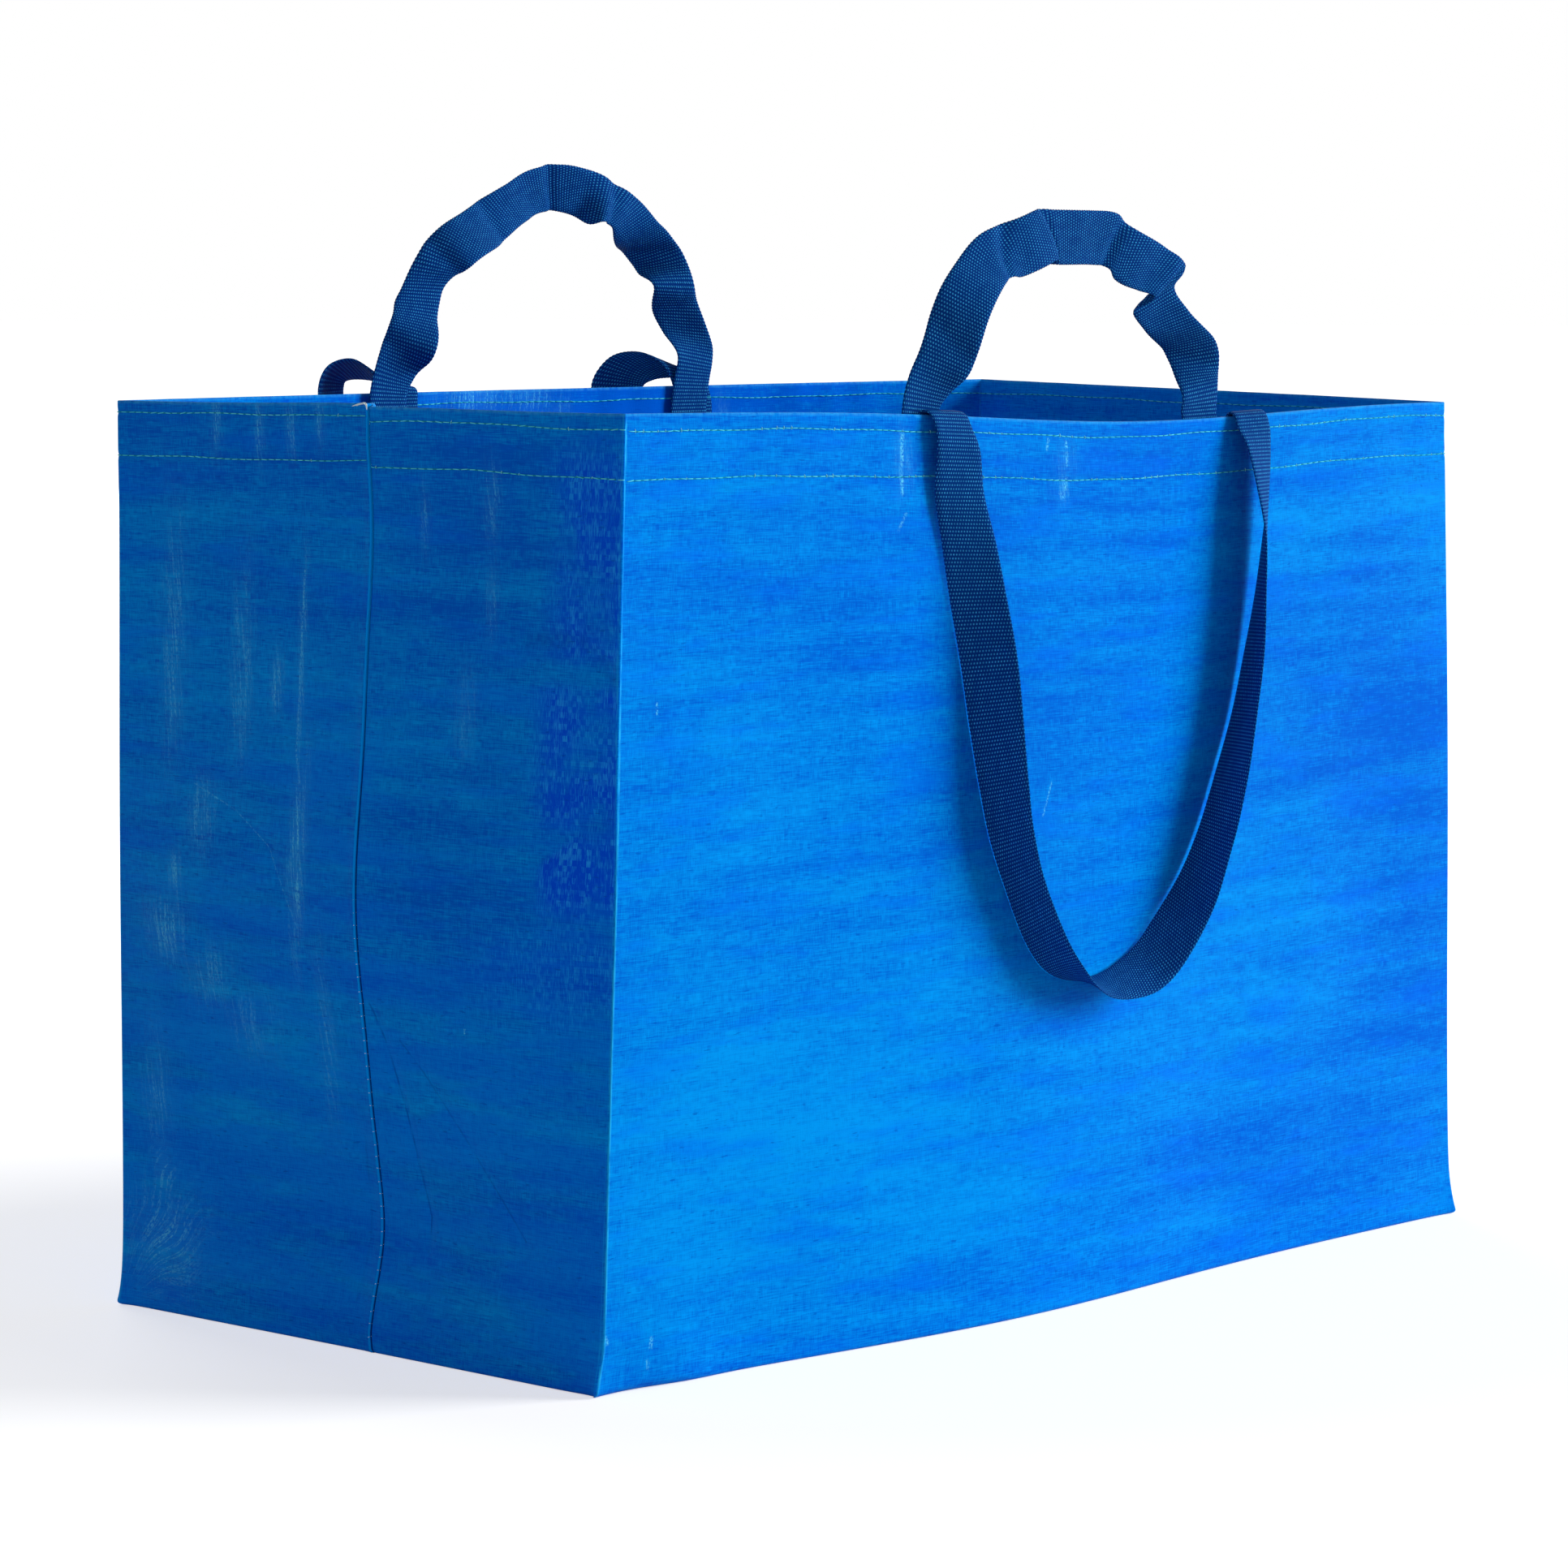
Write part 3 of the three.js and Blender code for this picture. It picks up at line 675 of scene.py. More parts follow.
# Its turn over the rim, as (up, out), from the foot inside to the hanging leg
TURN = GAP + STRAP_T / 2
RIM_TURN = [
    (-SEWN, FOOT_LONG),
    (-SEWN / 4, FOOT_LONG),
    (0, FOOT_LONG),
    (TURN + WALL, -WALL / 2),
    (TURN / 2, TURN + 2 * WALL),
    (-5, 5),
]
LEFT_TURN = [(-110 + i, up, out, 0, 0) for i, (up, out) in enumerate(RIM_TURN)]
RIGHT_TURN = [(143 - 0.3 * i, up, out, 180, 0) for i, (up, out) in enumerate(RIM_TURN)]
FRONT_LONG = LEFT_TURN + HANGING + RIGHT_TURN[::-1]

# The back one springs over the rim in two open loops before it hangs
MIRRORED = [(-along - 8, up, out, 180 - fan, lean) for along, up, out, fan, lean in HANGING[1:-1]]
BACK_LONG = [
    (-126, -SEWN, FOOT_LONG, 0, 0), (-126, -SEWN / 4, FOOT_LONG, 0, 0), (-127, 4, FOOT_LONG, -5, 0),
    (-130, 11, 1, -20, 10), (-137, 16, 6, -26, 18), (-146, 13, 12, -18, 20), (-151, 2, 14, 0, 16),
    (-150, -14, 11, 2, 20), *MIRRORED[::-1], (74, -14, 9, 180, 40), (69, -1, 10, 175, 50),
    (73, 3, 6, 146, 44), (82, 4, 2, 144, 28), (96, 5, FOOT_LONG, 168, 4),
    (104, -SEWN / 4, FOOT_LONG, 180, 0), (104, -SEWN, FOOT_LONG, 180, 0),
]


def stretch(stations, span, rise=None, drop=None):
    """The list stretched to its strap's span, rise and drop. Sewn feet keep their length."""
    list_span = stations[-1][0] - stations[0][0]
    ups = [station[1] for station in stations]
    tall = rise / max(ups) if rise else 1.0
    deep = (drop - SEWN) / (-min(ups) - SEWN) if drop else 1.0
    out = []
    for along, up, *rest in stations:
        below = -SEWN + (up + SEWN) * deep if up < -SEWN else up
        out.append((along * span / list_span, up * tall if up > 0 else below, *rest))
    return np.array(out, dtype=float)


def on_wall(side, along, up, out):
    """From wall measure to the bag. side is -1 for the front wall and 1 for the back wall."""
    x0 = along
    for _ in range(3):
        x0 = along - stray(x0 / HALF_X, side, 1.0)[0]
    lift = stray(x0 / HALF_X, side, 1.0)[2]
    h = np.clip(1 + up / HEIGHT, 0, 1)
    for _ in range(3):
        x0 = along - stray(x0 / HALF_X, side, h)[0]
    dy = stray(x0 / HALF_X, side, h)[1]
    return np.stack([along, side * (HALF_Y + out) + dy, HEIGHT + up + lift], axis=1)


def glide(stations, knots, k, t):
    """Places between stations k and k + 1 at the times t, on a curve through the four stations round them."""
    p = stations[k - 1 : k + 3]
    q = knots[k - 1 : k + 3]
    t = t[:, None]

    def lerp(a, b, i, j):
        return ((q[j] - t) * a + (t - q[i]) * b) / (q[j] - q[i])

    a1 = lerp(p[0], p[1], 0, 1)
    a2 = lerp(p[1], p[2], 1, 2)
    a3 = lerp(p[2], p[3], 2, 3)
    return lerp(lerp(a1, a2, 0, 2), lerp(a2, a3, 1, 3), 1, 2)


def strap_edges(side, stations, base):
    """Both edges of a strap, close together along it."""
    stations = stations.copy()
    stations[:, 2] += base
    stations = np.vstack([2 * stations[0] - stations[1], stations, 2 * stations[-1] - stations[-2]])
    steps = np.diff(stations, axis=0)
    knots = np.cumsum(np.sqrt(np.hypot(np.hypot(steps[:, 0], steps[:, 1]), steps[:, 2])
                              + 0.15 * np.hypot(steps[:, 3], steps[:, 4]) + 0.5))
    knots = np.concatenate([[0.0], knots])
    parts = []
    for k in range(1, len(stations) - 2):
        parts.append(glide(stations, knots, k, np.linspace(knots[k], knots[k + 1], 14, endpoint=False)))
    parts.append(glide(stations, knots, len(stations) - 3, knots[-2:-1]))
    along, up, out, fan, lean = np.concatenate(parts).T
    fan = np.radians(fan)
    lean = np.radians(lean)
    flat = STRAP_W * np.cos(lean)
    first = on_wall(side, along, up, out)
    second = on_wall(side, along + flat * np.cos(fan), up + flat * np.sin(fan), out + STRAP_W * np.sin(lean))
    return first, second


# Wrinkles across the hand loops as run, depth (away from the front), width and slant
FRONT_PINCHES = [
    (60, 1.2, 7, 6), (92, -1.2, 9, -4), (118, 1.6, 4, 8), (138, -1.6, 10, 0), (157, 2.2, 3, -3),
    (180, -1.4, 14, 0), (208, 2.0, 3.5, 5), (228, -1.4, 10, 0), (256, 2.0, 4, -6), (285, -1.2, 9, 4),
    (306, 1.5, 5, 5), (322, -1.0, 7, 0),
]
BACK_PINCHES = [
    (44, 1.5, 5, 4), (60, -1.2, 8, 0), (76, 1.4, 5, -4), (98, 1.6, 5, 6), (118, -1.4, 10, 0),
    (140, 1.4, 5, 4), (160, -1.2, 9, 0), (190, 1.6, 3.5, 0), (205, -1.2, 9, 2), (232, 1.8, 4, -5),
    (255, -1.4, 9, 0), (276, 1.6, 5, 5), (295, -1.2, 7, 0), (312, 1.6, 5, -4), (330, -1.0, 7, 0),
]


def build_strap(name, side, stations, base, phase, pinches, material):
    """A woven strap with ribs across it and looped edges. Its middle bellies to and fro along the way."""
    first, second = strap_edges(side, stations, base)
    middle = (first + second) / 2
    length = np.concatenate([[0.0], np.cumsum(np.linalg.norm(np.diff(middle, axis=0), axis=1))])
    whole = length[-1]
    count = int(whole / RIB_PITCH * 3)
    at = np.linspace(0, whole, count)
    first = np.stack([np.interp(at, length, first[:, i]) for i in range(3)], axis=1)
    second = np.stack([np.interp(at, length, second[:, i]) for i in range(3)], axis=1)
    across = second - first
    along = np.gradient((first + second) / 2, axis=0)
    face = unit(np.cross(along, across))
    free = band(at, SEWN + 6, SEWN + 50, whole - SEWN - 50, whole - SEWN - 6)
    belly = STRAP_CUP * free * (np.sin(at / 31 + phase) + 0.5 * np.sin(at / 13.7 + 2 * phase))
    rib = RIB_HEIGHT * np.cos(2 * math.pi * at / RIB_PITCH)
    loop = SCALLOP * np.abs(np.cos(math.pi * at / RIB_PITCH)) - SCALLOP / 2
    inner = np.linspace(-0.965, 0.965, STRAP_COLS)
    ring_t = np.concatenate([[-1.0], inner, [1.0], inner[::-1]])
    skin = np.concatenate([[0.0], np.ones(STRAP_COLS), [0.0], -np.ones(STRAP_COLS)])
    points = []
    for t, sign in zip(ring_t, skin):
        flatness = 1 - abs(t) ** 6
        rise = belly * (1 - t * t) + rib * abs(sign) * flatness
        rise = rise + sign * (STRAP_T / 2 - RIB_HEIGHT) * (1 - 0.35 * abs(t) ** 10)
        for where, depth, width, slant in pinches:
            rise = rise + depth * hump(at + slant * t, where, width)
        place = first + across * (t + 1) / 2 + face * rise[:, None]
        if sign == 0:
            place = place + unit(across) * (t * loop)[:, None]
        points.append(place)
    points = np.stack(points, axis=1)
    columns = len(ring_t)
    faces = loop_faces(count, columns)
    for start, order in ((0, 1), ((count - 1) * columns, -1)):
        for i in range(columns // 2):
            j = (columns - i) % columns
            k = columns - i - 1
            quad = list(dict.fromkeys([start + i, start + i + 1, start + k, start + j]))
            faces.append(quad[::order])
    weave = np.empty(points.shape)
    weave[:, :, 0] = (ring_t + 1) / 2 * STRAP_W
    weave[:, :, 1] = at[:, None]
    weave[:, :, 2] = skin * STRAP_SKIN
    piece = make_piece(name, points.reshape(-1, 3), faces, material, {"weave": weave.reshape(-1, 3)})
    return piece, whole


# Stitching


def sew(name, sheet, rows, rise, radius, tint, material, inside=False):
    """Threads at rows of runs and heights, raised from the sheet by rise along each thread."""
    laid = [on_sheet(sheet, run, height, inside) for run, height in rows]
    paths = np.concatenate([point + normal * rise[:, None] for point, normal in laid])
    normals = np.concatenate([normal for _, normal in laid])
    return tubes(name, paths, normals, radius, tint, material)


def hem_stitches(name, sheet, inside, material):
    """Two rows of lock stitches round the hem, each stitch dipping into its holes."""
    starts = np.arange(CREASE_R + 2, WHOLE_RUN - 2, STITCH_PITCH)
    t = np.linspace(0, 1, 6)
    rows = []
    for row in range(2):
        jog = rng.uniform(-0.3, 0.3, len(starts))
        size = STITCH * rng.uniform(0.92, 1.04, len(starts))
        tilt = rng.normal(0.0, 0.28, len(starts))
        run = starts[:, None] + jog[:, None] + size[:, None] * t
        run = np.clip(run, sheet["runs"][0], sheet["runs"][-1])
        rows.append((run, HEIGHT - hem_row(row, run) + tilt[:, None] * (t - 0.5)))
    rise = -0.2 + 0.55 * np.sin(math.pi * t) ** 0.5
    # The ends of each stitch are painted darker, as shade where they dip into the holes
    tint = 0.3 + 0.7 * band(t, 0.0, 0.3, 0.7, 1.0)
    return sew(name, sheet, rows, rise, THREAD_R, tint, material, inside)


def hem_rows(name, sheet, inside, material):
    """The thread that shows between the stitches, as one line along each row from seam to seam, painted in
    the dark teal of thread sunk in shade.
    """
    gap = 2.0
    ends = (CREASE_R + 2, FAR_SEAM, NEAR_SEAM, WHOLE_RUN - 1)
    rise = np.full(440, 0.05)
    rows = []
    for first, last in zip(ends, ends[1:]):
        run = np.linspace(first + gap, last - gap, len(rise))[None, :]
        rows += [(run, HEIGHT - hem_row(row, run)) for row in range(2)]
    return sew(name, sheet, rows, rise, ROW_R, SHADED_SUNK_TINT, material, inside)


def hem_ticks(name, sheet, material):
    """Loops of the lower thread, pulled up at some of the holes, most of them on the long walls."""
    runs = np.arange(CREASE_R + 2, WHOLE_RUN - 4, STITCH_PITCH)
    share = np.where(np.mod(runs, FAR_RUN) < LENGTH, 0.3, 0.06)
    t = np.linspace(0, 1, 5)
    rows = []
    for row in range(2):
        chosen = runs[rng.uniform(size=len(runs)) < share]
        chosen = chosen + rng.uniform(-0.5, 0.5, len(chosen))
        size = TICK * rng.uniform(0.6, 1.3, len(chosen))
        lean = rng.uniform(-0.5, 0.5, len(chosen))
        run = chosen[:, None] + lean[:, None] * (t - 0.5)
        rows.append((run, HEIGHT - hem_row(row, run) + size[:, None] * (t - 0.4)))
    return sew(name, sheet, rows, -0.1 + 0.4 * np.sin(math.pi * t), TICK_R, TICK_TINT, material)


def seam_stitches(name, sheet, seam_run, material):
    """Bars of thread across an end seam. They lie deep in it, apart from its lowest part."""
    heights = np.arange(7.0, HEIGHT - 3.0, SEAM_STITCH)
    heights = heights + rng.uniform(-0.4, 0.4, len(heights))
    t = np.linspace(0, 1, 6)
    run = seam_run - 0.4 + 0.32 * (2 * t - 1) + np.zeros_like(heights)[:, None]
    height = heights[:, None] + rng.uniform(-0.7, 0.7, len(heights))[:, None] * (t - 0.5)
    ends, normal = on_sheet(sheet, run[:, [0, -1]], height[:, [0, -1]])
    span = mix(ends[:, :1], ends[:, 1:], t[None, :, None])
    normal = np.repeat(normal[:, :1], len(t), axis=1)
    deep = 0.5 * smooth(160, 260, heights)
    sag = 0.1 + 0.3 * np.sin(math.pi * t)[None, :] - deep[:, None]
    return tubes(name, span + normal * sag[:, :, None], normal, DOT_R, WHITE_TINT, material)


# Ends of the seam's thread at the rim as (run, height, out from the end wall's face)
THREAD_ENDS = [
    [
        (1652, 402.0, 0.2), (1655, 402.9, 0.6), (1657.5, 403.4, 1.0),
        (1659, 402.9, 1.6), (1659.8, 401.6, 2.0), (1660, 400.4, 2.0),
    ],
    [
        (1647, 401.6, -2.0), (1651, 402.6, -1.4), (1654, 403.0, -0.4),
        (1657, 403.0, 0.6), (1658.6, 402.2, 1.4), (1659.4, 401.0, 1.8),
    ],
    [
        (1650, 402.0, -1.0), (1653, 402.6, -1.2), (1656, 402.8, -0.6),
        (1658, 402.8, 0.4), (1659.2, 402.0, 1.4), (1659.6, 400.8, 1.8),
    ],
]


def loose_threads(name, material):
    """Ends of thread curled over the rim at the near seam."""
    t = np.linspace(0, 1, 26)
    paths = []
    for ends in THREAD_ENDS:
        at = np.linspace(0, 1, len(ends))
        run, z, out = [np.polyval(np.polyfit(at, values, 4), t) for values in np.array(ends).T]
        paths.append(np.stack([-HALF_X - out + 1.0, BACK_RUN + HALF_Y - run, z], axis=1))
    normals = np.broadcast_to(np.array([-0.6, -0.5, 0.62]), (len(paths), len(t), 3))
    return tubes(name, np.stack(paths), normals, THREAD_R, WHITE_TINT, material)


# Materials


class Value:
    """A node's output, with arithmetic that adds further nodes."""

    def __init__(self, net, socket):
        self.net = net
        self.socket = socket

    def __add__(self, other):
        return self.net.math("ADD", self, other)

    def __sub__(self, other):
        return self.net.math("SUBTRACT", self, other)

    def __mul__(self, other):
        return self.net.math("MULTIPLY", self, other)

    def __truediv__(self, other):
        return self.net.math("DIVIDE", self, other)


class Net:
    """A material's or the world's node tree, built by short calls."""

    def __init__(self, owner):
        owner.use_nodes = True
        self.tree = owner.node_tree
        self.tree.nodes.clear()

    def add(self, kind, inputs=None, **settings):
        """A new node. Its inputs are outputs of other nodes or plain values."""
        node = self.tree.nodes.new(kind)
        for key, value in settings.items():
            setattr(node, key, value)
        for key, value in (inputs or {}).items():
            if isinstance(value, Value):
                self.tree.links.new(value.socket, node.inputs[key])
            else:
                node.inputs[key].default_value = value
        return node

    def value(self, kind, inputs=None, output=0, **settings):
        """One output of a new node."""
        return Value(self, self.add(kind, inputs, **settings).outputs[output])

    def attribute(self, name, output="Vector"):
        return self.value("ShaderNodeAttribute", output=output, attribute_name=name)

    def ray(self, kind):
        return self.value("ShaderNodeLightPath", output=f"Is {kind} Ray")

    def math(self, operation, a, b=0):
        return self.value("ShaderNodeMath", {0: a, 1: b}, operation=operation)

    def vector(self, operation, a, b, output="Vector"):
        return self.value("ShaderNodeVectorMath", {0: a, 1: b}, output, operation=operation)

    def split(self, vector):
        node = self.add("ShaderNodeSeparateXYZ", {0: vector})
        return [Value(self, socket) for socket in node.outputs]

    def join(self, x, y, z):
        return self.value("ShaderNodeCombineXYZ", {0: x, 1: y, 2: z})

    def noise(self, vector, scale, detail, roughness=0.5):
        """Noise of patches that measure about scale, in the vector's units."""
        place = self.vector("MULTIPLY", vector, tuple(1 / s for s in scale))
        inputs = {"Vector": place, "Scale": 1, "Detail": detail, "Roughness": roughness}
        return self.value("ShaderNodeTexNoise", inputs)

    def ramp(self, value, low, high, to_low=0, to_high=1):
        inputs = {"Value": value, "From Min": low, "From Max": high, "To Min": to_low, "To Max": to_high}
        return self.value("ShaderNodeMapRange", inputs)

    def off(self, value, centre):
        return self.math("ABSOLUTE", value - centre)

    def path_distance(self, place, path):
        """Distance from a path of (run, height) on the outer face."""
        nearest = None
        for first, last in zip(path, path[1:]):
            start = Vector((*first, 0))
            way = Vector((*last, 0)) - start
            length = way.length
            way = way / length
            reach = self.vector("SUBTRACT", place, start)
            along = self.vector("DOT_PRODUCT", reach, way, "Value")
            along = self.math("MINIMUM", self.math("MAXIMUM", along, 0), length)
            foot = self.value("ShaderNodeVectorMath", {0: way, "Scale": along}, operation="SCALE")
            distance = self.vector("DISTANCE", reach, foot, "Value")
            nearest = distance if nearest is None else self.math("MINIMUM", nearest, distance)
        return nearest

    def marks(self, place, marks):
        """Strength of thin marks, each with its path, half width and strength."""
        strongest = 0
        for path, half_width, strength in marks:
            distance = self.path_distance(place, path)
            mark = self.ramp(distance, half_width, 0.1 * half_width, 0, strength)
            strongest = self.math("MAXIMUM", strongest, mark)
        return strongest

    def blend(self, factor, a, b):
        """From colour a to colour b. Plain colours are given without their alpha."""
        a, b = [(*color, 1) if isinstance(color, tuple) else color for color in (a, b)]
        return self.value("ShaderNodeMix", {0: factor, 6: a, 7: b}, 2, data_type="RGBA")

    def surface(self, color, roughness, bump, strength, distance, specular, tint=(1, 1, 1)):
        """Ends the material as a bumped surface with a tinted shine."""
        raised = {"Height": bump, "Strength": strength, "Distance": distance}
        inputs = {
            "Base Color": color,
            "Roughness": roughness,
            "Normal": self.value("ShaderNodeBump", raised),
            "Specular IOR Level": specular,
            "Specular Tint": (*tint, 1),
        }
        shader = self.value("ShaderNodeBsdfPrincipled", inputs)
        self.add("ShaderNodeOutputMaterial", {"Surface": shader})


def new_material(name):
    material = bpy.data.materials.new(name)
    return material, Net(material)


# Corner folds, paler from wear and from a painted highlight, as places in half a round of the walls, half
# width and strength
FOLD_WEAR_AND_HIGHLIGHT = [(1.6, 0.9, 0.9), (LENGTH, 1.8, 0.6), (FAR_RUN, 0.8, 0.3)]


def film_material():
    """Film over woven tapes: cloudy blue with a fine cross weave, dark flecks, scuffs with painted glints, a
    painted sheen by the near edge, folds with wear and a painted highlight, and painted shade in creases and
    seams.
    """
    material, net = new_material("film_weave")
    cloth = net.attribute("cloth")
    flow = net.attribute("flow")
    scuff_and_glint, glow, tone_and_painted_light = [net.attribute(name, "Fac") for name in ("scuff_and_glint", "glow", "tone_and_painted_light")]
    run, height, skin = net.split(cloth)

    def noise(place, wide, tall, detail, roughness=0.5):
        return net.noise(place, (wide, tall, INNER_SKIN), detail, roughness)

    # Clouds of colour and the crossing tapes
    clouds = noise(cloth, 170, 17, 6, 0.66)
    broad = noise(cloth, 420, 150, 2)
    cloud = net.ramp(clouds + broad * 0.5, 0.56, 0.96)
    column = net.math("FLOOR", run / TAPE)
    row = net.math("FLOOR", height / TAPE)
    apart = 3.7
    warp = noise(net.join(column * apart, height, skin), 1, 30, 3, 0.6)
    weft = noise(net.join(run, row * apart, skin), 30, 1, 3, 0.6)
    over = net.math("MODULO", column + row, 2)
    tape = warp + over * (weft - warp)
    upright = noise(cloth, 0.55, 5, 2, 0.6)
    level = noise(cloth, 11, 0.65, 2, 0.65)
    fibre = upright + level * 1.5
    # The paler and deeper places add painted light here, such as the far end's paler inside
    shade = cloud * 0.45 + tape * 0.55 + fibre * 0.8 + tone_and_painted_light * 0.45
    color = net.blend(net.ramp(shade, 1.17, 1.85), (0, 0.115, 0.69), (0, 0.33, 0.91))

    # Patches of a truer blue, more of them low on the end walls
    lap = net.math("MODULO", run, FAR_RUN)
    low = net.ramp(lap, LENGTH - 2, LENGTH + 2) * net.ramp(height, 300, 80, 0, 0.14)
    patches = noise(cloth, 80, 17, 4, 0.6) + low
    color = net.blend(net.ramp(patches, 0.5, 0.66, 0, 0.4), color, (0, 0.15, 0.92))

    # Painted sheen of deep blue by the near edge, and dark flecks
    deep = glow * net.ramp(noise(cloth, 30, 40, 4), 0.25, 0.5)
    strand = net.ramp(upright + tape, 0.95, 1.25)
    color = net.blend(deep, color, net.blend(strand, (0, 0.085, 0.84), (0.015, 0.32, 1)))
    flecks = noise(cloth, 6, 1.3, 1)
    color = net.blend(net.ramp(flecks, 0.67, 0.76, 0, 0.6), color, (0, 0.08, 0.58))

    # Scuffs with painted glints, scratches, and painted shade along creases
    streak = net.ramp(noise(flow, 1.5, 30, 3, 0.7), 0.48, 0.6)
    grain = net.ramp(noise(flow, 0.8, 1.7, 2, 0.6), 0.42, 0.56)
    scuff_and_glint_streaks = streak * grain * 0.75 + 0.09
    # Scuffs and painted glints as pale streaks
    color = net.blend(scuff_and_glint * scuff_and_glint_streaks, color, (0.11, 0.62, 0.97))
    breaks = net.ramp(noise(cloth, 0.9, 1.3, 3, 0.7), 0.46, 0.6)
    color = net.blend(net.marks(cloth, SCRATCHES) * breaks, color, (0.15, 0.76, 1))
    # Painted shade along the creases
    fading = net.ramp(noise(cloth, 9, 9, 3), 0.35, 0.6)
    color = net.blend(net.marks(cloth, CREASE_SHADE_LINES) * fading, color, (0, 0.07, 0.50))

    # Corner folds paler from wear and a painted highlight, the rim paler from wear, and the end seams' mouth
    # painted dark as shadow, with a painted highlight on its lip
    patchy = net.ramp(noise(cloth, 3, 8, 3), 0.3, 0.6)
    # Wear and a painted highlight along the corner folds
    for edge, half_width, strength in FOLD_WEAR_AND_HIGHLIGHT:
        line = net.ramp(net.off(lap, edge), half_width, 0.4 * half_width, 0, strength)
        color = net.blend(patchy * line, color, (0.02, 0.50, 1))
    rim = net.ramp(net.off(height, HEIGHT), 1.6, 0.4, 0, 0.5)
    color = net.blend(rim * patchy, color, (0.06, 0.46, 0.95))
    outside = net.ramp(skin, 1, 0)
    # Painted highlight on the lip of each end seam
    lip = net.ramp(net.off(lap, FAR_SEAM - 0.45), 0.36, 0.28, 0, 0.95)
    color = net.blend(outside * lip, color, (0, 0.34, 1))
    # Painted shadow in the mouth of each end seam
    mouth = net.ramp(net.off(lap, FAR_SEAM + 0.28), 0.42, 0.34)
    color = net.blend(outside * mouth, color, (0, 0.012, 0.16))

    roughness = net.ramp(clouds, 0.3, 0.7, 0.48, 0.34)
    net.surface(color, roughness, fibre + tape, 0.3, 0.0003, 0.03, (0.05, 0.5, 1))
    return material


def webbing_material():
    """Ribbed webbing: rows of short dashes on navy, the weave's floats, painted light as a highlight where
    they catch the light.
    """
    material, net = new_material("navy_webbing")
    weave = net.attribute("weave")
    across, along, _ = net.split(weave)
    rows = along / RIB_PITCH
    stagger = net.math("MODULO", net.math("FLOOR", rows), 2) * 0.5
    columns = across / DASH_PITCH + stagger
    x = net.math("FRACT", columns) - 0.5
    y = net.math("FRACT", rows) - 0.5 + x * 0.2
    x = x * (DASH_PITCH / DASH_SIZE[0])
    y = y * (RIB_PITCH / DASH_SIZE[1])
    dash = net.ramp(x * x + y * y, 1.15, 0.45)
    uneven = net.noise(weave, (3, 9, STRAP_SKIN), 3, 0.6)
    faded = net.noise(weave, (20, 60, STRAP_SKIN), 2)
    # The dashes are the weave's floats, painted light as a highlight
    light = dash * net.ramp(uneven, 0.3, 0.7, 0.35, 1)
    ground = net.blend(faded, (0.001, 0.026, 0.175), (0.002, 0.042, 0.23))
    color = net.blend(light, ground, (0.04, 0.36, 0.74))
    net.surface(color, 0.6, light + uneven * 0.3, 0.5, 0.0004, 0.05, (0.08, 0.42, 1))
    return material


def thread_material():
    """Thread painted dark teal as shade where it sinks in, pale green along the stitches and white at loose
    ends.
    """
    material, net = new_material("pale_thread")
    tint = net.attribute("tint", "Fac")
    place = net.value("ShaderNodeTexCoord", output="Object")
    twist = net.noise(place, (0.0006, 0.0006, 0.0006), 1)
    patchy = net.noise(place, (0.04, 0.04, 0.04), 2)
    pale = net.blend(net.ramp(patchy, 0.4, 0.65), (0.05, 0.64, 0.78), (0.13, 0.84, 0.92))
    # Painted shade: dark teal where the thread sinks in
    color = net.blend(net.ramp(tint, 0, 1), (0, 0.27, 0.38), pale)
    color = net.blend(net.ramp(tint, 1, 2), color, (0.85, 0.97, 1))
    net.surface(color, 0.6, twist, 0.3, 0.0001, 0.2)
    return material


# Camera, fitted to the bag in the photo, light and floor
LENS = 128.54
SENSOR = 36
EYE = Vector((-1.96551, -1.68646, 0.45682))
AIM = Vector((-0.00958, 0.01104, 0.22135))
LAMP_AWAY = 9
LAMP_SIZE = 5
LAMP_AIM = Vector((0, 0, 0.2))
LAMPS = [
    ("key", (0.74, -0.62, 0.26), 970),
    ("fill", (-0.93, -0.32, 0.15), 148),
    ("back_fill", (0.45, 0.85, 0.30), 300),
]
AMBIENT = 0.15
WHITE = (1, 1, 1, 1)
FLOOR_COLOR = (0.8, 0.8, 0.8, 1)
FLOOR_REACH = 40


def place_object(name, data, place, way):
    """A camera or a lamp that looks along way."""
    thing = bpy.data.objects.new(name, data)
    thing.location = place
    thing.rotation_euler = way.to_track_quat("-Z", "Y").to_euler()
    bpy.context.scene.collection.objects.link(thing)
    return thing


def set_camera():
    data = bpy.data.cameras.new("camera")
    data.lens = LENS
    data.sensor_width = SENSOR
    bpy.context.scene.camera = place_object("camera", data, EYE, AIM - EYE)


def add_lamp(name, direction, energy):
    data = bpy.data.lights.new(name, "AREA")
    data.size = LAMP_SIZE
    data.energy = energy
    way = Vector(direction).normalized()
    lamp = place_object(name, data, way * LAMP_AWAY + LAMP_AIM, -way)
    lamp.visible_glossy = False


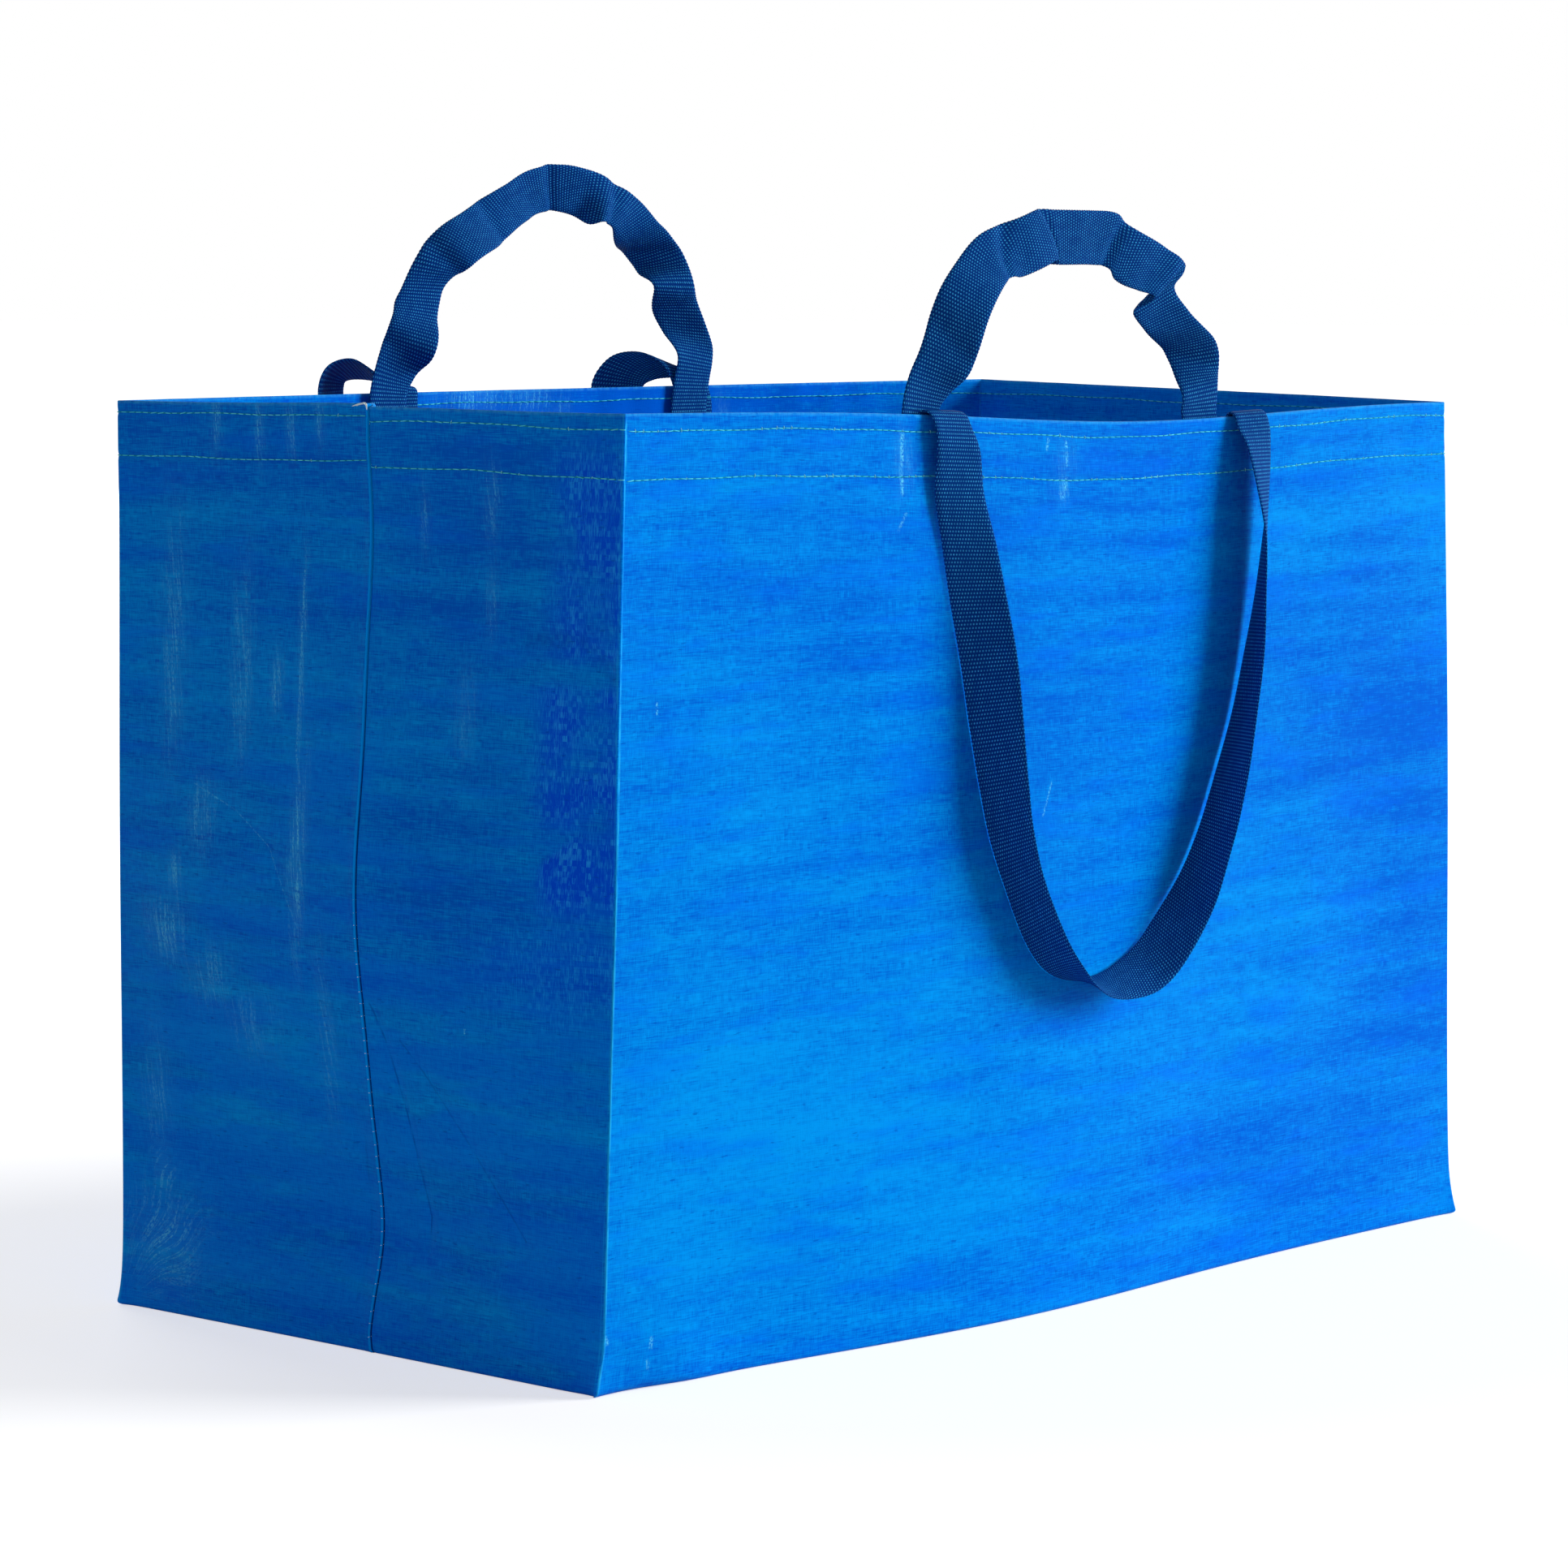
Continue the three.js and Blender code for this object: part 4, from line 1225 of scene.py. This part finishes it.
def set_stage():
    """White surroundings for the camera, softer light for the bag, and a pale floor that keeps its shadow."""
    world = bpy.data.worlds.new("surround")
    bpy.context.scene.world = world
    net = Net(world)
    seen = net.math("MAXIMUM", net.ray("Camera"), net.ray("Glossy"))
    seen = net.math("MAXIMUM", seen, net.ray("Transmission"))
    strength = net.ramp(seen, 0, 1, AMBIENT, 1)
    background = net.value("ShaderNodeBackground", {"Color": WHITE, "Strength": strength})
    net.add("ShaderNodeOutputWorld", {"Surface": background})
    material, net = new_material("pale_floor")
    diffuse = net.value("ShaderNodeBsdfDiffuse", {"Color": FLOOR_COLOR})
    place = net.value("ShaderNodeNewGeometry", output="Position")
    away = net.value("ShaderNodeVectorMath", {0: place}, "Value", operation="LENGTH")
    glow = net.ray("Camera") * net.ramp(away, 0.4, 1.3, 0.6, 1)
    emission = net.value("ShaderNodeEmission", {"Color": WHITE, "Strength": glow})
    both = net.value("ShaderNodeAddShader", {0: diffuse, 1: emission})
    net.add("ShaderNodeOutputMaterial", {"Surface": both})
    mesh = bpy.data.meshes.new("floor")
    corners = ((-1, -1), (1, -1), (1, 1), (-1, 1))
    mesh.from_pydata([(x * FLOOR_REACH, y * FLOOR_REACH, 0) for x, y in corners], [], [[0, 1, 2, 3]])
    mesh.materials.append(material)
    floor = bpy.data.objects.new("floor", mesh)
    bpy.context.scene.collection.objects.link(floor)


bpy.context.scene.view_settings.view_transform = "Standard"
set_camera()
set_stage()
for name, direction, energy in LAMPS:
    add_lamp(name, direction, energy)

film = film_material()
webbing = webbing_material()
thread = thread_material()

bag, sheet = build_sheet(film)
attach(bag, "root")
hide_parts("bag_body")

threads = [
    hem_stitches("hem_thread_outside", sheet, False, thread),
    hem_stitches("hem_thread_inside", sheet, True, thread),
    hem_rows("hem_row_outside", sheet, False, thread),
    hem_rows("hem_row_inside", sheet, True, thread),
    hem_ticks("hem_thread_loops", sheet, thread),
    seam_stitches("near_seam_thread", sheet, NEAR_SEAM, thread),
    seam_stitches("far_seam_thread", sheet, FAR_SEAM, thread),
    loose_threads("seam_thread_ends", thread),
]
for piece in threads:
    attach(piece, "root")

front_arch = stretch(FRONT_ARCH, span=231, rise=94)
back_arch = stretch(BACK_ARCH, span=234, rise=107)
front_loop = stretch(FRONT_LONG, span=253, drop=248)
back_loop = stretch(BACK_LONG, span=230, drop=233)
STRAPS = [
    ("front_short_strap", "front_short_handle", -1, front_arch, FOOT_SHORT, 0.4, FRONT_PINCHES),
    ("back_short_strap", "back_short_handle", 1, back_arch, FOOT_SHORT, 2, BACK_PINCHES),
    ("front_long_strap", "front_long_handle", -1, front_loop, 0, 1, []),
    ("back_long_strap", "back_long_handle", 1, back_loop, 0, 3, []),
]
for name, node, side, stations, base, phase, pinches in STRAPS:
    strap, length = build_strap(name, side, stations, base, phase, pinches, webbing)
    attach(strap, "root")
    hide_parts(node)
